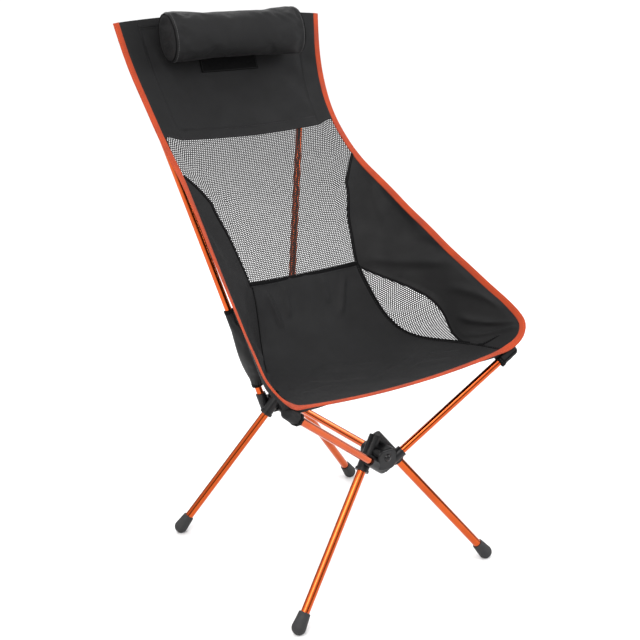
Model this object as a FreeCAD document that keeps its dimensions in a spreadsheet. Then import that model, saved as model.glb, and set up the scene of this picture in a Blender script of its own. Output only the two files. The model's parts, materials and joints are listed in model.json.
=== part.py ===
import FreeCAD, Part
import math
import os

from FreeCAD import Placement, Rotation, Vector

# Ultralight backpacking chair, millimetres.
# +Z is up, the sitter faces -Y, and the sitter's left is +X.
# Two moulded hubs, joined by a centre bar, carry four legs and four poles.
# A sewn sling hangs by pockets at its four corners from the pole tips.

document = FreeCAD.newDocument("BackpackingChair")

sizeList = (
    # where the poles and legs end
    ("backTopHeight", 962, "height of the back pole tips"),
    ("backTopHalfWidth", 205, "half the distance between the back pole tips"),
    ("backTopDepth", 374, "back pole tips behind the middle of the feet"),
    ("seatFrontHeight", 436, "height of the seat pole tips"),
    ("seatFrontHalfWidth", 257, "half the distance between the seat pole tips"),
    ("seatFrontDepth", 224, "seat pole tips in front of the middle of the feet"),
    ("topCornerOut", 15, "top corner of the sling outside the back pole tip"),
    ("topCornerGap", 7.4, "top corner of the sling in front of that tip's cap"),
    ("topCornerRise", 18, "top corner of the sling above that tip"),
    ("seatTipInset", 11, "the seat pole's cap stops this short of the sling's front corner"),
    ("seatTipTuck", 3.6, "how far the top of that cap stands above that corner"),
    ("frontFootHalfWidth", 216, "half the distance between the front feet"),
    ("frontFootDepth", 209, "front feet in front of the middle of the feet"),
    ("rearFootHalfWidth", 210, "half the distance between the rear feet"),
    ("rearFootDepth", 213, "rear feet behind the middle of the feet"),
    # hubs: the leg axes of a hub meet at the leg apex, its pole axes at the pole apex
    ("frontHubDepth", 138, "front leg apex in front of the middle of the feet"),
    ("rearHubDepth", 147, "rear leg apex behind the middle of the feet"),
    ("legApexHeight", 285, "height where the leg axes of a hub meet"),
    ("barHeight", 256, "height of the centre bar"),
    ("seatPoleApexSetback", 21, "seat pole apex in front of the front leg apex"),
    ("seatPoleApexHeight", 230, "height where the seat pole axes meet"),
    ("backPoleApexSetback", 11, "back pole apex behind the rear leg apex"),
    ("backPoleApexHeight", 135, "height where the back pole axes meet"),
    ("socketWall", 3.2, "wall of the hub sockets"),
    ("socketRim", 1.6, "rim that stands out round a leg socket's mouth"),
    ("socketRimLength", 5, "length of that rim"),
    ("webRound", 13, "rounding of a hub's block"),
    ("webFaceRound", 4, "rounding round that block's outer face"),
    ("bridgeSetback", 6, "front of the block under the back pole sockets, behind the leg apex"),
    ("bridgeRise", 2, "that block above the floors of the back pole sockets"),
    ("bridgeDrop", 6, "that block below their mouths"),
    ("legSocketMouth", 68, "mouth of a leg socket, from the leg apex"),
    ("legSocketFloor", 17, "floor of a leg socket, from the leg apex"),
    ("legClearance", 0.3, "gap round a leg in its socket"),
    ("seatSocketMouth", 48, "mouth of a seat pole socket, from its apex"),
    ("seatSocketFloor", 14, "floor of a seat pole socket, from its apex"),
    ("backSocketMouth", 136, "mouth of a back pole socket, from its apex"),
    ("backSocketFloor", 106, "floor of a back pole socket, from its apex"),
    ("poleClearance", 0.15, "gap round a pole or the bar in its socket"),
    ("hubWebHalfWidth", 21, "half width of the block in the middle of a hub"),
    ("hubWebTop", 272, "top of that block"),
    ("hubWebBottom", 232, "bottom of that block"),
    ("collarReach", 25, "centre bar collar, past the leg apex"),
    ("barEngagement", 8, "centre bar past the leg apex inside a hub"),
    # tubes
    ("legDiameter", 16, "outer diameter of a leg"),
    ("legWall", 1.0, "wall of a leg"),
    ("poleDiameter", 14, "outer diameter of the poles and the centre bar"),
    ("poleWall", 0.9, "wall of the poles and the centre bar"),
    ("firstJoint", 310, "end of the back pole's lower section, from its apex"),
    ("secondJoint", 676, "end of the back pole's middle section, from its apex"),
    ("ferruleLength", 60, "sleeve inside a pole joint"),
    ("ferruleWall", 0.9, "wall of that sleeve"),
    ("ferruleClearance", 0.1, "gap between a sleeve and its pole"),
    ("jointGap", 0.2, "gap between two sections of a back pole"),
    ("cordDiameter", 3, "elastic cord inside the tubes"),
    ("cordKnot", 8, "knot at the end of that cord"),
    ("cordEndGap", 30, "the cord's knot stays this far inside the tube's end"),
    # rubber feet
    ("footWall", 2.5, "wall of the foot at its top rim"),
    ("footRadius", 13, "radius of the foot's rounded end"),
    ("footLength", 40, "foot from its top rim to its end"),
    ("footFlat", 1.0, "depth of the worn flat that the foot stands on"),
    ("footSole", 9, "rubber below the end of the leg"),
    ("footRimRound", 1.2, "chamfer of the foot's top rim"),
    ("floorBlockWidth", 200, "block under the floor that trims each foot flat"),
    ("floorBlockHeight", 50, "height of that block"),
    # pole end caps and corner pockets
    ("capLength", 24, "cap on a pole tip"),
    ("capWall", 1.6, "wall of that cap"),
    ("capEnd", 5, "solid end of that cap"),
    ("capRound", 4.1, "rounding of that end"),
    ("pocketLength", 46, "corner pocket along the pole"),
    ("pocketWall", 2.5, "padding of a corner pocket"),
    ("pocketClearance", 0.4, "gap between a pocket and its cap"),
    ("pocketRound", 6.3, "rounding of a pocket's closed end"),
    # hub rivets
    ("rivetShank", 5, "rivet through a hub into the centre bar"),
    ("rivetHead", 15, "domed head of that rivet"),
    ("rivetHeadHeight", 5, "height of that head"),
    ("rivetDepth", 34, "length of the rivet's shank"),
    ("rivetRoom", 0.5, "room round a rivet's head where a hub stands past it"),
    ("barPlugLength", 18, "plug in each end of the centre bar"),
    ("hubFace", 36, "outer face of a hub, past the leg apex"),
    # sling
    ("panelThickness", 1.6, "woven panels of the sling"),
    ("meshThickness", 1.6, "mesh panels of the sling"),
    ("bindingWidth", 14, "folded tape along the edges"),
    ("bindingThickness", 3.2, "thickness of that tape with the panel inside"),
    ("seamGap", 1.0, "gap between neighbouring panels"),
    ("frontSeamGap", 2.0, "gap between the seat panel and the front tape"),
    ("netInset", 1.5, "the back net stops this short of its side seams"),
    ("wingSag", 5, "how far a side wing hollows between its seams"),
    ("fullSagWidth", 100, "a wing narrower than this hollows less"),
    ("leafShare", 0.5, "widest part of the side mesh, as a share of the wing"),
    # headrest
    ("pillowLength", 292, "headrest bolster from end to end"),
    ("pillowHeight", 98, "height of its section"),
    ("pillowDepth", 72, "depth of its section"),
    ("pillowEdge", 20, "rounding of its ends"),
    ("pillowDrop", 24, "its centre below the back pole tips"),
    ("pillowGap", 5, "gap between the bolster and the sling"),
    ("pillowTilt", 19, "lean of the bolster and of its travel, degrees"),
    ("patchWidth", 126, "hook-and-loop patch behind the bolster"),
    ("patchThickness", 1.4, "thickness of that patch"),
    ("patchGap", 0.1, "gap between that patch and the sling"),
    # side pouch on the sitter's right back pole
    ("pouchStart", 152, "lower end of the pouch, from the back pole apex"),
    ("pouchEnd", 318, "upper end of the pouch, from the back pole apex"),
    ("pouchHalfWidth", 33, "half width of the pouch"),
    ("pouchHalfDepth", 16, "half depth of the pouch"),
    ("pouchOverlap", 9, "how far the pouch reaches past its pole"),
    ("pouchWall", 2.5, "least cloth round the pole"),
)

sheet = document.addObject("Spreadsheet::Sheet", "Sizes")
for rowNumber, (sizeName, sizeValue, sizeNote) in enumerate(sizeList, start=1):
    sheet.set("A%d" % rowNumber, sizeNote)
    sheet.set("B%d" % rowNumber, str(sizeValue))
    sheet.setAlias("B%d" % rowNumber, sizeName)
document.recompute()


def size(name):
    return float(sheet.get(name))


# The sling hangs between two edges and a centre line. Each station, from the top
# hem to the front edge, gives a place along the straight line from the seat front
# corner to the top corner, how far inward of that line the point is, and how far
# below it.
edgeStations = (
    (1.00, -2, 3), (0.91, 14, 42), (0.82, 28, 65), (0.73, 36, 76), (0.63, 39, 73), (0.56, 35, 65),
    (0.49, 28, 54), (0.42, 21, 45), (0.35, 13, 34), (0.28, 6, 24), (0.212, -2, 12), (0.15, -9, 1),
    (0.095, -15, -10), (0.045, -17, -17), (-0.004, -5, -23),
)
seamStations = (
    (1.00, 90, 2), (0.91, 95, 45), (0.82, 95, 70), (0.73, 92, 82), (0.64, 92, 85), (0.553, 85, 88),
    (0.483, 102, 107), (0.423, 113, 122), (0.363, 122, 137), (0.295, 119, 149), (0.230, 109, 159),
    (0.168, 93, 154), (0.115, 70, 123), (0.055, 44, 68), (-0.014, 33, 5),
)
centreStations = (
    (1.012, 0), (0.91, 47), (0.82, 72), (0.725, 85), (0.645, 91), (0.562, 102), (0.488, 117),
    (0.428, 131), (0.366, 146), (0.297, 162), (0.228, 170), (0.154, 162), (0.086, 132), (0.030, 83),
    (-0.023, 17),
)
meshTopStation = 3.0
meshBottomStation = 8.0
wingTopStation = 4.0
lastStation = len(edgeStations) - 1.0
leafStations = (8.1, 12.9)
leafTipStations = 0.25
leafSeamShare = 0.006
wingTipStations = 0.06
patchStations = (0.35, 1.22)
wingHollowWay = Vector(0.3, 0.55, -0.78)

# along the pouch: share of its length, and how full it is there
pouchSections = ((0.0, 0.36), (0.18, 0.78), (0.45, 1.0), (0.75, 0.82), (1.0, 0.42))
frontBandStation = lastStation - 0.19

capRadius = size("poleDiameter") / 2 + size("capWall")

# corners of the sling: a little outside and in front of the pole tips
topCorner = Vector(size("backTopHalfWidth") + size("topCornerOut"),
                   size("backTopDepth") - capRadius - size("topCornerGap"),
                   size("backTopHeight") + size("topCornerRise"))
frontCorner = Vector(size("seatFrontHalfWidth"), -size("seatFrontDepth"), size("seatFrontHeight"))


def railCurve(points):
    curve = Part.BSplineCurve()
    curve.interpolate(Points=points, Parameters=[float(number) for number in range(len(points))])
    return curve


def chordPoint(along, inward, below):
    chord = topCorner - frontCorner
    run = Vector(0, chord.y, chord.z).normalize()
    down = Vector(0, run.z, -run.y)
    point = frontCorner + chord * along + down * below
    point.x -= inward
    return point


def centrePoint(along, below):
    point = chordPoint(along, 0, below)
    point.x = 0
    return point


edgeRail = railCurve([chordPoint(*station) for station in edgeStations])
seamRail = railCurve([chordPoint(*station) for station in seamStations])
centreRail = railCurve([centrePoint(*station) for station in centreStations])


def outwardAt(station):
    return (edgeRail.value(station) - seamRail.value(station)).normalize()


def bindingInner(station):
    return edgeRail.value(station) - outwardAt(station) * (size("bindingWidth") / 2 + size("seamGap") / 2)


def seamAt(station):
    """Side seam of the middle strip: it leaves the binding below the wing's upper tip."""
    share = min(1.0, max(0.0, station - wingTopStation))
    inner = bindingInner(station)
    return inner + (seamRail.value(station) - inner) * share


def netSide(station):
    """Side edge of the back net, just inside the seam."""
    return seamAt(station) - outwardAt(station) * size("netInset")


def leafWidth(station):
    first, last = leafStations
    if station <= first or station >= last:
        return 0.0
    return size("leafShare") * math.sin(math.pi * (station - first) / (last - first))


def acrossCentre(station, share, rail):
    """Point on the middle strip: share runs from -1 to 1 between the rails."""
    middle = centreRail.value(station)
    side = rail(station)
    bow = share * share
    return Vector(side.x * share, middle.y + (side.y - middle.y) * bow, middle.z + (side.z - middle.z) * bow)


def acrossWing(station, share):
    """Point on a side wing: share runs from 0 at the seam to 1 at the binding."""
    seam = seamAt(station) + outwardAt(station) * size("seamGap")
    side = bindingInner(station)
    width = (side - seam).Length
    hollow = size("wingSag") * min(1.0, width / size("fullSagWidth")) * 4 * share * (1 - share)
    return seam + (side - seam) * share + wingHollowWay * hollow


def gridNormal(grid, row, column):
    above = grid[max(row - 1, 0)][column]
    below = grid[min(row + 1, len(grid) - 1)][column]
    left = grid[row][max(column - 1, 0)]
    right = grid[row][min(column + 1, len(grid[0]) - 1)]
    return (below - above).cross(right - left).normalize()


def sheetSolid(grid, low, high):
    """A closed solid between two copies of a grid of points, set off along its normals."""
    faces = []
    for offset in (low, high):
        surface = Part.BSplineSurface()
        surface.interpolate([
            [grid[row][column] + gridNormal(grid, row, column) * offset for column in range(len(grid[0]))]
            for row in range(len(grid))
        ])
        faces.append(surface)
    lower, upper = faces
    firstRow, lastRow, firstColumn, lastColumn = upper.bounds()
    sides = []
    for cut in (firstRow, lastRow):
        sides.append(Part.makeRuledSurface(edgeOf(lower.uIso(matching(cut, upper, lower, 0))),
                                           edgeOf(upper.uIso(cut))))
    for cut in (firstColumn, lastColumn):
        sides.append(Part.makeRuledSurface(edgeOf(lower.vIso(matching(cut, upper, lower, 2))),
                                           edgeOf(upper.vIso(cut))))
    shell = Part.makeShell([lower.toShape(), upper.toShape()] + sides)
    shell.sewShape()
    solid = Part.makeSolid(shell)
    if solid.Volume < 0:
        solid.reverse()
    return solid


def edgeOf(curve):
    return curve.toShape()


def matching(cut, surface, other, first):
    own = surface.bounds()
    theirs = other.bounds()
    return theirs[first] if abs(cut - own[first]) < 1e-9 else theirs[first + 1]


def spread(first, last, count):
    return [first + (last - first) * number / (count - 1) for number in range(count)]


subParts = {}


def keep(name, item):
    item.Label = name
    subParts[name] = item


def fixedShape(name, shape):
    item = document.addObject("Part::Feature", name)
    item.Shape = shape
    item.Placement = Placement()
    keep(name, item)
    return item


def cylinder(name, radius, height):
    item = document.addObject("Part::Cylinder", name)
    item.setExpression("Radius", radius)
    item.setExpression("Height", height)
    return item


def cutFrom(name, base, tool):
    item = document.addObject("Part::Cut", name)
    item.Base = base
    item.Tool = tool
    return item


def fused(name, members):
    item = document.addObject("Part::MultiFuse", name)
    item.Shapes = members
    return item


def alongAxis(start, direction, distance=0.0):
    return Placement(start + direction * distance, Rotation(Vector(0, 0, 1), direction))


def axisOf(apex, tip):
    return (tip - apex).normalize()


def mirroredX(point, side):
    return Vector(point.x * side, point.y, point.z)


frontLegApex = Vector(0, -size("frontHubDepth"), size("legApexHeight"))
rearLegApex = Vector(0, size("rearHubDepth"), size("legApexHeight"))
seatPoleApex = Vector(0, frontLegApex.y - size("seatPoleApexSetback"), size("seatPoleApexHeight"))
backPoleApex = Vector(0, rearLegApex.y + size("backPoleApexSetback"), size("backPoleApexHeight"))

# a foot's rounded end is a ball; its centre stands this high
footCentreHeight = size("footRadius") - size("footFlat")
frontFoot = Vector(size("frontFootHalfWidth"), -size("frontFootDepth"), footCentreHeight)
rearFoot = Vector(size("rearFootHalfWidth"), size("rearFootDepth"), footCentreHeight)
seatPoleTip = (frontCorner + (seatPoleApex - frontCorner).normalize() * size("seatTipInset")
               - Vector(0, 0, capRadius - size("seatTipTuck")))
backPoleTip = Vector(size("backTopHalfWidth"), size("backTopDepth"), size("backTopHeight"))

sideNames = {1: "left", -1: "right"}


def tube(name, start, direction, first, last, diameter, wall):
    """A straight tube along an axis, between two distances from its apex."""
    length = "%.4f" % (last - first)
    outer = cylinder(name + "Outer", "Sizes.%s / 2" % diameter, length)
    inner = cylinder(name + "Bore", "Sizes.%s / 2 - Sizes.%s" % (diameter, wall), length)
    item = cutFrom(name, outer, inner)
    item.Placement = alongAxis(start, direction, first)
    keep(name, item)


def cord(name, start, direction, first, last):
    """The elastic cord along a tube, with a knot at its far end."""
    line = cylinder(name + "Line", "Sizes.cordDiameter / 2", "%.4f" % (last - first))
    knot = document.addObject("Part::Sphere", name + "Knot")
    knot.setExpression("Radius", "Sizes.cordKnot / 2")
    knot.Placement = Placement(Vector(0, 0, last - first), Rotation())
    item = fused(name, [line, knot])
    item.Placement = alongAxis(start, direction, first)
    keep(name, item)


def footBody(name):
    """A rubber foot about its own Z axis, its ball at the origin, its rim up."""
    body = document.addObject("PartDesign::Body", name + "Body")
    outline = body.newObject("Sketcher::SketchObject", name + "Outline")
    plane = [plane for plane in body.Origin.OriginFeatures if plane.Role == "XZ_Plane"][0]
    outline.AttachmentSupport = [(plane, "")]
    outline.MapMode = "FlatFace"
    ball = size("footRadius")
    rim = size("legDiameter") / 2 + size("footWall")
    top = size("footLength") - ball
    bore = size("legDiameter") / 2
    floor = size("footSole") - ball
    rimRound = size("footRimRound")
    corners = [
        Vector(0, -ball, 0), Vector(ball, 0, 0), Vector(rim, top - rimRound, 0),
        Vector(rim - rimRound, top, 0), Vector(bore, top, 0), Vector(bore, floor, 0), Vector(0, floor, 0),
    ]
    arcMiddle = Vector(ball * math.sin(math.pi / 4), -ball * math.cos(math.pi / 4), 0)
    outline.addGeometry(Part.Arc(corners[0], arcMiddle, corners[1]), False)
    for first, last in zip(corners[1:], corners[2:] + corners[:1]):
        outline.addGeometry(Part.LineSegment(first, last), False)
    turned = body.newObject("PartDesign::Revolution", name + "Turned")
    turned.Profile = outline
    turned.ReferenceAxis = (outline, ["V_Axis"])
    turned.Angle = 360
    body.Tip = turned
    return body


def foot(name, centre, direction):
    body = footBody(name)
    body.Placement = Placement(centre, Rotation(Vector(0, 0, -1), direction))
    ground = document.addObject("Part::Box", name + "Ground")
    width = size("floorBlockWidth")
    height = size("floorBlockHeight")
    ground.Length = width
    ground.Width = width
    ground.Height = height
    ground.Placement = Placement(Vector(centre.x - width / 2, centre.y - width / 2, -height), Rotation())
    keep(name, cutFrom(name, body, ground))


def legs():
    for place, apex, end in (("front", frontLegApex, frontFoot), ("rear", rearLegApex, rearFoot)):
        for side, sideName in sideNames.items():
            centre = mirroredX(end, side)
            direction = axisOf(apex, centre)
            reach = (centre - apex).Length
            legEnd = reach + size("footRadius") - size("footSole")
            name = "%s_leg_%s" % (place, sideName)
            tube(name, apex, direction, size("legSocketFloor") + size("legClearance"), legEnd,
                 "legDiameter", "legWall")
            cord("%s_leg_cord_%s" % (place, sideName), apex, direction, size("legSocketFloor"),
                 legEnd - size("cordEndGap"))
            foot("%s_foot_%s" % (place, sideName), centre, direction)


def endCap(name, apex, direction, tip):
    """A plastic cap on a pole tip: tip is the distance of its outer end from the apex."""
    outer = cylinder(name + "Outer", "Sizes.poleDiameter / 2 + Sizes.capWall", "Sizes.capLength")
    rounded = document.addObject("Part::Fillet", name + "Rounded")
    rounded.Base = outer
    document.recompute()
    rounded.Edges = [(number, size("capRound"), size("capRound"))
                     for number, edge in enumerate(outer.Shape.Edges, start=1)
                     if edge.Closed and edge.BoundBox.ZMin > size("capLength") / 2]
    bore = cylinder(name + "Bore", "Sizes.poleDiameter / 2 + Sizes.ferruleClearance",
                    "Sizes.capLength - Sizes.capEnd")
    item = cutFrom(name, rounded, bore)
    item.Placement = alongAxis(apex, direction, tip - size("capLength"))
    keep(name, item)


def poles():
    for side, sideName in sideNames.items():
        tip = mirroredX(seatPoleTip, side)
        direction = axisOf(seatPoleApex, tip)
        reach = (tip - seatPoleApex).Length
        poleEnd = reach - size("capEnd") - size("ferruleClearance")
        tube("seat_pole_" + sideName, seatPoleApex, direction,
             size("seatSocketFloor") + size("poleClearance"), poleEnd, "poleDiameter", "poleWall")
        cord("seat_pole_cord_" + sideName, seatPoleApex, direction, size("seatSocketFloor"),
             poleEnd - size("cordEndGap"))
        endCap("seat_pole_cap_" + sideName, seatPoleApex, direction, reach)

        tip = mirroredX(backPoleTip, side)
        direction = axisOf(backPoleApex, tip)
        reach = (tip - backPoleApex).Length
        poleEnd = reach - size("capEnd") - size("ferruleClearance")
        joints = [size("backSocketFloor") + size("poleClearance"), size("firstJoint"),
                  size("secondJoint"), poleEnd]
        for section, first, last in zip(("lower", "middle", "upper"), joints, joints[1:]):
            tube("back_pole_%s_%s" % (section, sideName), backPoleApex, direction,
                 first, last if last == poleEnd else last - size("jointGap"), "poleDiameter", "poleWall")
        cord("back_pole_cord_" + sideName, backPoleApex, direction, size("backSocketFloor"),
             poleEnd - size("cordEndGap"))
        endCap("back_pole_cap_" + sideName, backPoleApex, direction, reach)


def ferrules():
    sleeves = []
    for side in sideNames:
        direction = axisOf(backPoleApex, mirroredX(backPoleTip, side))
        for joint in ("firstJoint", "secondJoint"):
            name = "ferrule_%s_%d" % (joint, side + 1)
            radius = "Sizes.poleDiameter / 2 - Sizes.poleWall - Sizes.ferruleClearance"
            outer = cylinder(name + "Outer", radius, "Sizes.ferruleLength")
            inner = cylinder(name + "Bore", radius + " - Sizes.ferruleWall", "Sizes.ferruleLength")
            sleeve = cutFrom(name, outer, inner)
            sleeve.Placement = alongAxis(backPoleApex, direction, size(joint) - size("ferruleLength") / 2)
            sleeves.append(sleeve)
    item = document.addObject("Part::Compound", "pole_ferrules")
    item.Links = sleeves
    keep("pole_ferrules", item)


def barSpan():
    return (frontLegApex.y - size("barEngagement"), rearLegApex.y + size("barEngagement"))


def centreBar():
    start, end = barSpan()
    tube("centre_bar", Vector(0, 0, size("barHeight")), Vector(0, 1, 0), start, end,
         "poleDiameter", "poleWall")
    plugs = []
    for name, place, direction in (("barPlugFront", start, Vector(0, 1, 0)),
                                   ("barPlugRear", end, Vector(0, -1, 0))):
        radius = "Sizes.poleDiameter / 2 - Sizes.poleWall - Sizes.ferruleClearance"
        outer = cylinder(name + "Outer", radius, "Sizes.barPlugLength")
        inner = cylinder(name + "Bore", "Sizes.rivetShank / 2 + Sizes.ferruleClearance",
                         "Sizes.barPlugLength")
        plug = cutFrom(name, outer, inner)
        plug.Placement = alongAxis(Vector(0, place, size("barHeight")), direction)
        plugs.append(plug)
    item = document.addObject("Part::Compound", "bar_plugs")
    item.Links = plugs
    keep("bar_plugs", item)


def rivetFaces():
    """Outer faces of the two hubs, where the rivet heads sit, and the way in from each."""
    return (
        ("front", Vector(0, frontLegApex.y - size("hubFace"), size("barHeight")), Vector(0, 1, 0)),
        ("rear", Vector(0, rearLegApex.y + size("hubFace"), size("barHeight")), Vector(0, -1, 0)),
    )


def rivets():
    solids = []
    for place, face, inward in rivetFaces():
        name = "rivet_" + place
        shank = cylinder(name + "Shank", "Sizes.rivetShank / 2", "Sizes.rivetDepth")
        head = document.addObject("Part::Sphere", name + "Head")
        cap = size("rivetHead") / 2
        rise = size("rivetHeadHeight")
        ball = (cap * cap + rise * rise) / (2 * rise)
        head.Radius = ball
        head.Placement = Placement(Vector(0, 0, ball - rise), Rotation())
        below = cylinder(name + "Below", "%.4f" % (2 * ball), "%.4f" % (3 * ball))
        dome = cutFrom(name + "Dome", head, below)
        rivet = fused(name, [shank, dome])
        rivet.Placement = alongAxis(face, inward)
        solids.append(rivet)
    item = document.addObject("Part::Compound", "hub_rivets")
    item.Links = solids
    keep("hub_rivets", item)


def hub(name, legApex, legEnd, poleApex, poleEnd, socketFloor, socketMouth, outward):
    """A moulded hub: two leg sockets, two pole sockets, a web and a collar for the bar."""
    solids = []
    bores = []
    closedEnd = size("socketWall")
    for side in sideNames:
        direction = axisOf(legApex, mirroredX(legEnd, side))
        socket = cylinder("%sLegSocket%d" % (name, side + 1), "Sizes.legDiameter / 2 + Sizes.socketWall",
                          "Sizes.legSocketMouth")
        socket.Placement = alongAxis(legApex, direction)
        rim = cylinder("%sLegRim%d" % (name, side + 1),
                       "Sizes.legDiameter / 2 + Sizes.socketWall + Sizes.socketRim",
                       "Sizes.socketRimLength")
        rim.Placement = alongAxis(legApex, direction, size("legSocketMouth") - size("socketRimLength"))
        bore = cylinder("%sLegBore%d" % (name, side + 1), "Sizes.legDiameter / 2 + Sizes.legClearance",
                        "Sizes.legSocketMouth")
        bore.Placement = alongAxis(legApex, direction, size("legSocketFloor"))
        solids += [socket, rim]
        bores.append(bore)

        direction = axisOf(poleApex, mirroredX(poleEnd, side))
        first = socketFloor - closedEnd if socketFloor > 3 * size("poleDiameter") else 0.0
        socket = cylinder("%sPoleSocket%d" % (name, side + 1), "Sizes.poleDiameter / 2 + Sizes.socketWall",
                          "%.4f" % (socketMouth - first))
        socket.Placement = alongAxis(poleApex, direction, first)
        bore = cylinder("%sPoleBore%d" % (name, side + 1), "Sizes.poleDiameter / 2 + Sizes.poleClearance",
                        "%.4f" % (socketMouth + 1))
        bore.Placement = alongAxis(poleApex, direction, socketFloor)
        solids.append(socket)
        bores.append(bore)

    web = document.addObject("Part::Box", name + "Web")
    web.setExpression("Length", "2 * Sizes.hubWebHalfWidth")
    web.setExpression("Width", "Sizes.hubFace + 2 * Sizes.barEngagement")
    web.setExpression("Height", "Sizes.hubWebTop - Sizes.hubWebBottom")
    inner = legApex.y - outward * 2 * size("barEngagement")
    outer = legApex.y + outward * size("hubFace")
    web.Placement = Placement(Vector(-size("hubWebHalfWidth"), min(inner, outer), size("hubWebBottom")),
                              Rotation())
    document.recompute()
    rounded = document.addObject("Part::Fillet", name + "RoundedWeb")
    rounded.Base = web
    rounded.Edges = [(number, size("webRound"), size("webRound"))
                     for number, edge in enumerate(web.Shape.Edges, start=1)
                     if abs(edge.tangentAt(edge.FirstParameter).y) > 0.99]
    document.recompute()
    softened = document.addObject("Part::Fillet", name + "SoftenedWeb")
    softened.Base = rounded
    softened.Edges = [(number, size("webFaceRound"), size("webFaceRound"))
                      for number, edge in enumerate(rounded.Shape.Edges, start=1)
                      if abs(edge.CenterOfMass.y - outer) < size("poleClearance")]
    solids.append(softened)

    collar = cylinder(name + "Collar", "Sizes.poleDiameter / 2 + Sizes.socketWall",
                      "Sizes.collarReach + Sizes.barEngagement")
    collar.Placement = alongAxis(Vector(0, legApex.y, size("barHeight")), Vector(0, -outward, 0),
                                 -size("barEngagement"))
    solids.append(collar)
    barBore = cylinder(name + "BarBore", "Sizes.poleDiameter / 2 + Sizes.poleClearance",
                       "Sizes.collarReach + Sizes.barEngagement + 1")
    barBore.Placement = alongAxis(Vector(0, legApex.y, size("barHeight")), Vector(0, -outward, 0),
                                  -size("barEngagement"))
    rivetHole = cylinder(name + "RivetHole", "Sizes.rivetShank / 2 + Sizes.ferruleClearance",
                         "Sizes.hubFace + 1")
    rivetHole.Placement = alongAxis(Vector(0, legApex.y, size("barHeight")), Vector(0, outward, 0))
    headRoom = cylinder(name + "HeadRoom", "Sizes.rivetHead / 2 + Sizes.rivetRoom",
                        "Sizes.backSocketMouth - Sizes.backSocketFloor + Sizes.poleDiameter")
    headRoom.Placement = alongAxis(Vector(0, legApex.y, size("barHeight")), Vector(0, outward, 0),
                                   size("hubFace"))
    bores += [barBore, rivetHole, headRoom]

    if outward > 0:
        solids.append(rearBridge(name, poleApex, poleEnd, socketFloor, socketMouth))
    item = cutFrom(name, fused(name + "Solid", solids), fused(name + "Bores", bores))
    keep(name, item)


def rearBridge(name, poleApex, poleEnd, socketFloor, socketMouth):
    """The block that joins the two back pole sockets to the rear hub."""
    direction = axisOf(poleApex, poleEnd)
    low = poleApex + direction * (socketFloor - size("socketWall"))
    high = poleApex + direction * socketMouth
    bridge = document.addObject("Part::Box", name + "Bridge")
    bridge.Length = 2 * low.x
    setback = size("bridgeSetback")
    rise = size("bridgeRise")
    bridge.Width = high.y - rearLegApex.y - setback
    bridge.Height = high.z - low.z - size("bridgeDrop") - rise
    bridge.Placement = Placement(Vector(-low.x, rearLegApex.y + setback, low.z + rise), Rotation())
    return bridge


def middleStrip(name, first, last, rail, thickness, rows, columns):
    """A panel across the sling between its side rails."""
    grid = [[acrossCentre(station, share, rail) for share in spread(-1, 1, columns)]
            for station in spread(first, last, rows)]
    half = size(thickness) / 2
    fixedShape(name, sheetSolid(grid, -half, half))


def stationGap(station, gap):
    """How many stations the given gap is along the centre line."""
    step = 0.02
    here = centreRail.value(station)
    there = centreRail.value(station + step if station + step <= lastStation else station - step)
    return gap * step / (there - here).Length


def wingSide(side, first, last, low, high, thickness, rows, columns, name):
    grid = []
    for station in spread(first, last, rows):
        start = low(station)
        end = high(station)
        row = [mirroredX(acrossWing(station, share), side) for share in spread(start, end, columns)]
        grid.append(row)
    half = size(thickness) / 2
    fixedShape(name, sheetSolid(grid, -half, half))


def sling():
    gap = size("seamGap")
    meshTop = meshTopStation + stationGap(meshTopStation, gap)
    meshBottom = meshBottomStation - stationGap(meshBottomStation, gap)
    middleStrip("upper_back_panel", 0.0, meshTopStation, bindingInner, "panelThickness", 13, 9)
    middleStrip("back_mesh_panel", meshTop, meshBottom, netSide, "meshThickness", 21, 9)
    middleStrip("seat_panel", meshBottomStation, frontBandStation, seamAt, "panelThickness", 21, 11)

    def wingLow(station):
        return leafWidth(station) + (leafSeamShare if leafWidth(station) > 0 else 0.0)

    leafFirst = leafStations[0] + leafTipStations
    leafLast = leafStations[1] - leafTipStations
    for side, sideName in sideNames.items():
        wingSide(side, wingTopStation + wingTipStations, frontBandStation, wingLow, lambda station: 1.0,
                 "panelThickness", 41, 7, "side_wing_" + sideName)
        wingSide(side, leafFirst, leafLast, lambda station: 0.0, leafWidth, "meshThickness", 17, 5,
                 "side_mesh_" + sideName)


def binding():
    width = size("bindingWidth")
    half = size("bindingThickness") / 2
    for side, sideName in sideNames.items():
        grid = []
        for station in spread(0.0, frontBandStation, 41):
            edge = edgeRail.value(station)
            out = outwardAt(station)
            grid.append([mirroredX(edge + out * (width * share), side) for share in (-0.5, 0.0, 0.5)])
        fixedShape("side_binding_" + sideName, sheetSolid(grid, -half, half))
    grid = []
    step = stationGap(lastStation, size("frontSeamGap"))
    for station in spread(frontBandStation + step, lastStation, 7):
        wing = [acrossWing(station, share) for share in (0.3, 0.6, 1.0)]
        wing.append(edgeRail.value(station) + outwardAt(station) * (width / 2))
        middle = [acrossCentre(station, share, seamAt) for share in spread(-1, 1, 11)]
        grid.append([mirroredX(point, -1) for point in reversed(wing)] + middle + wing)
    fixedShape("front_binding", sheetSolid(grid, -half, half))


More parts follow.
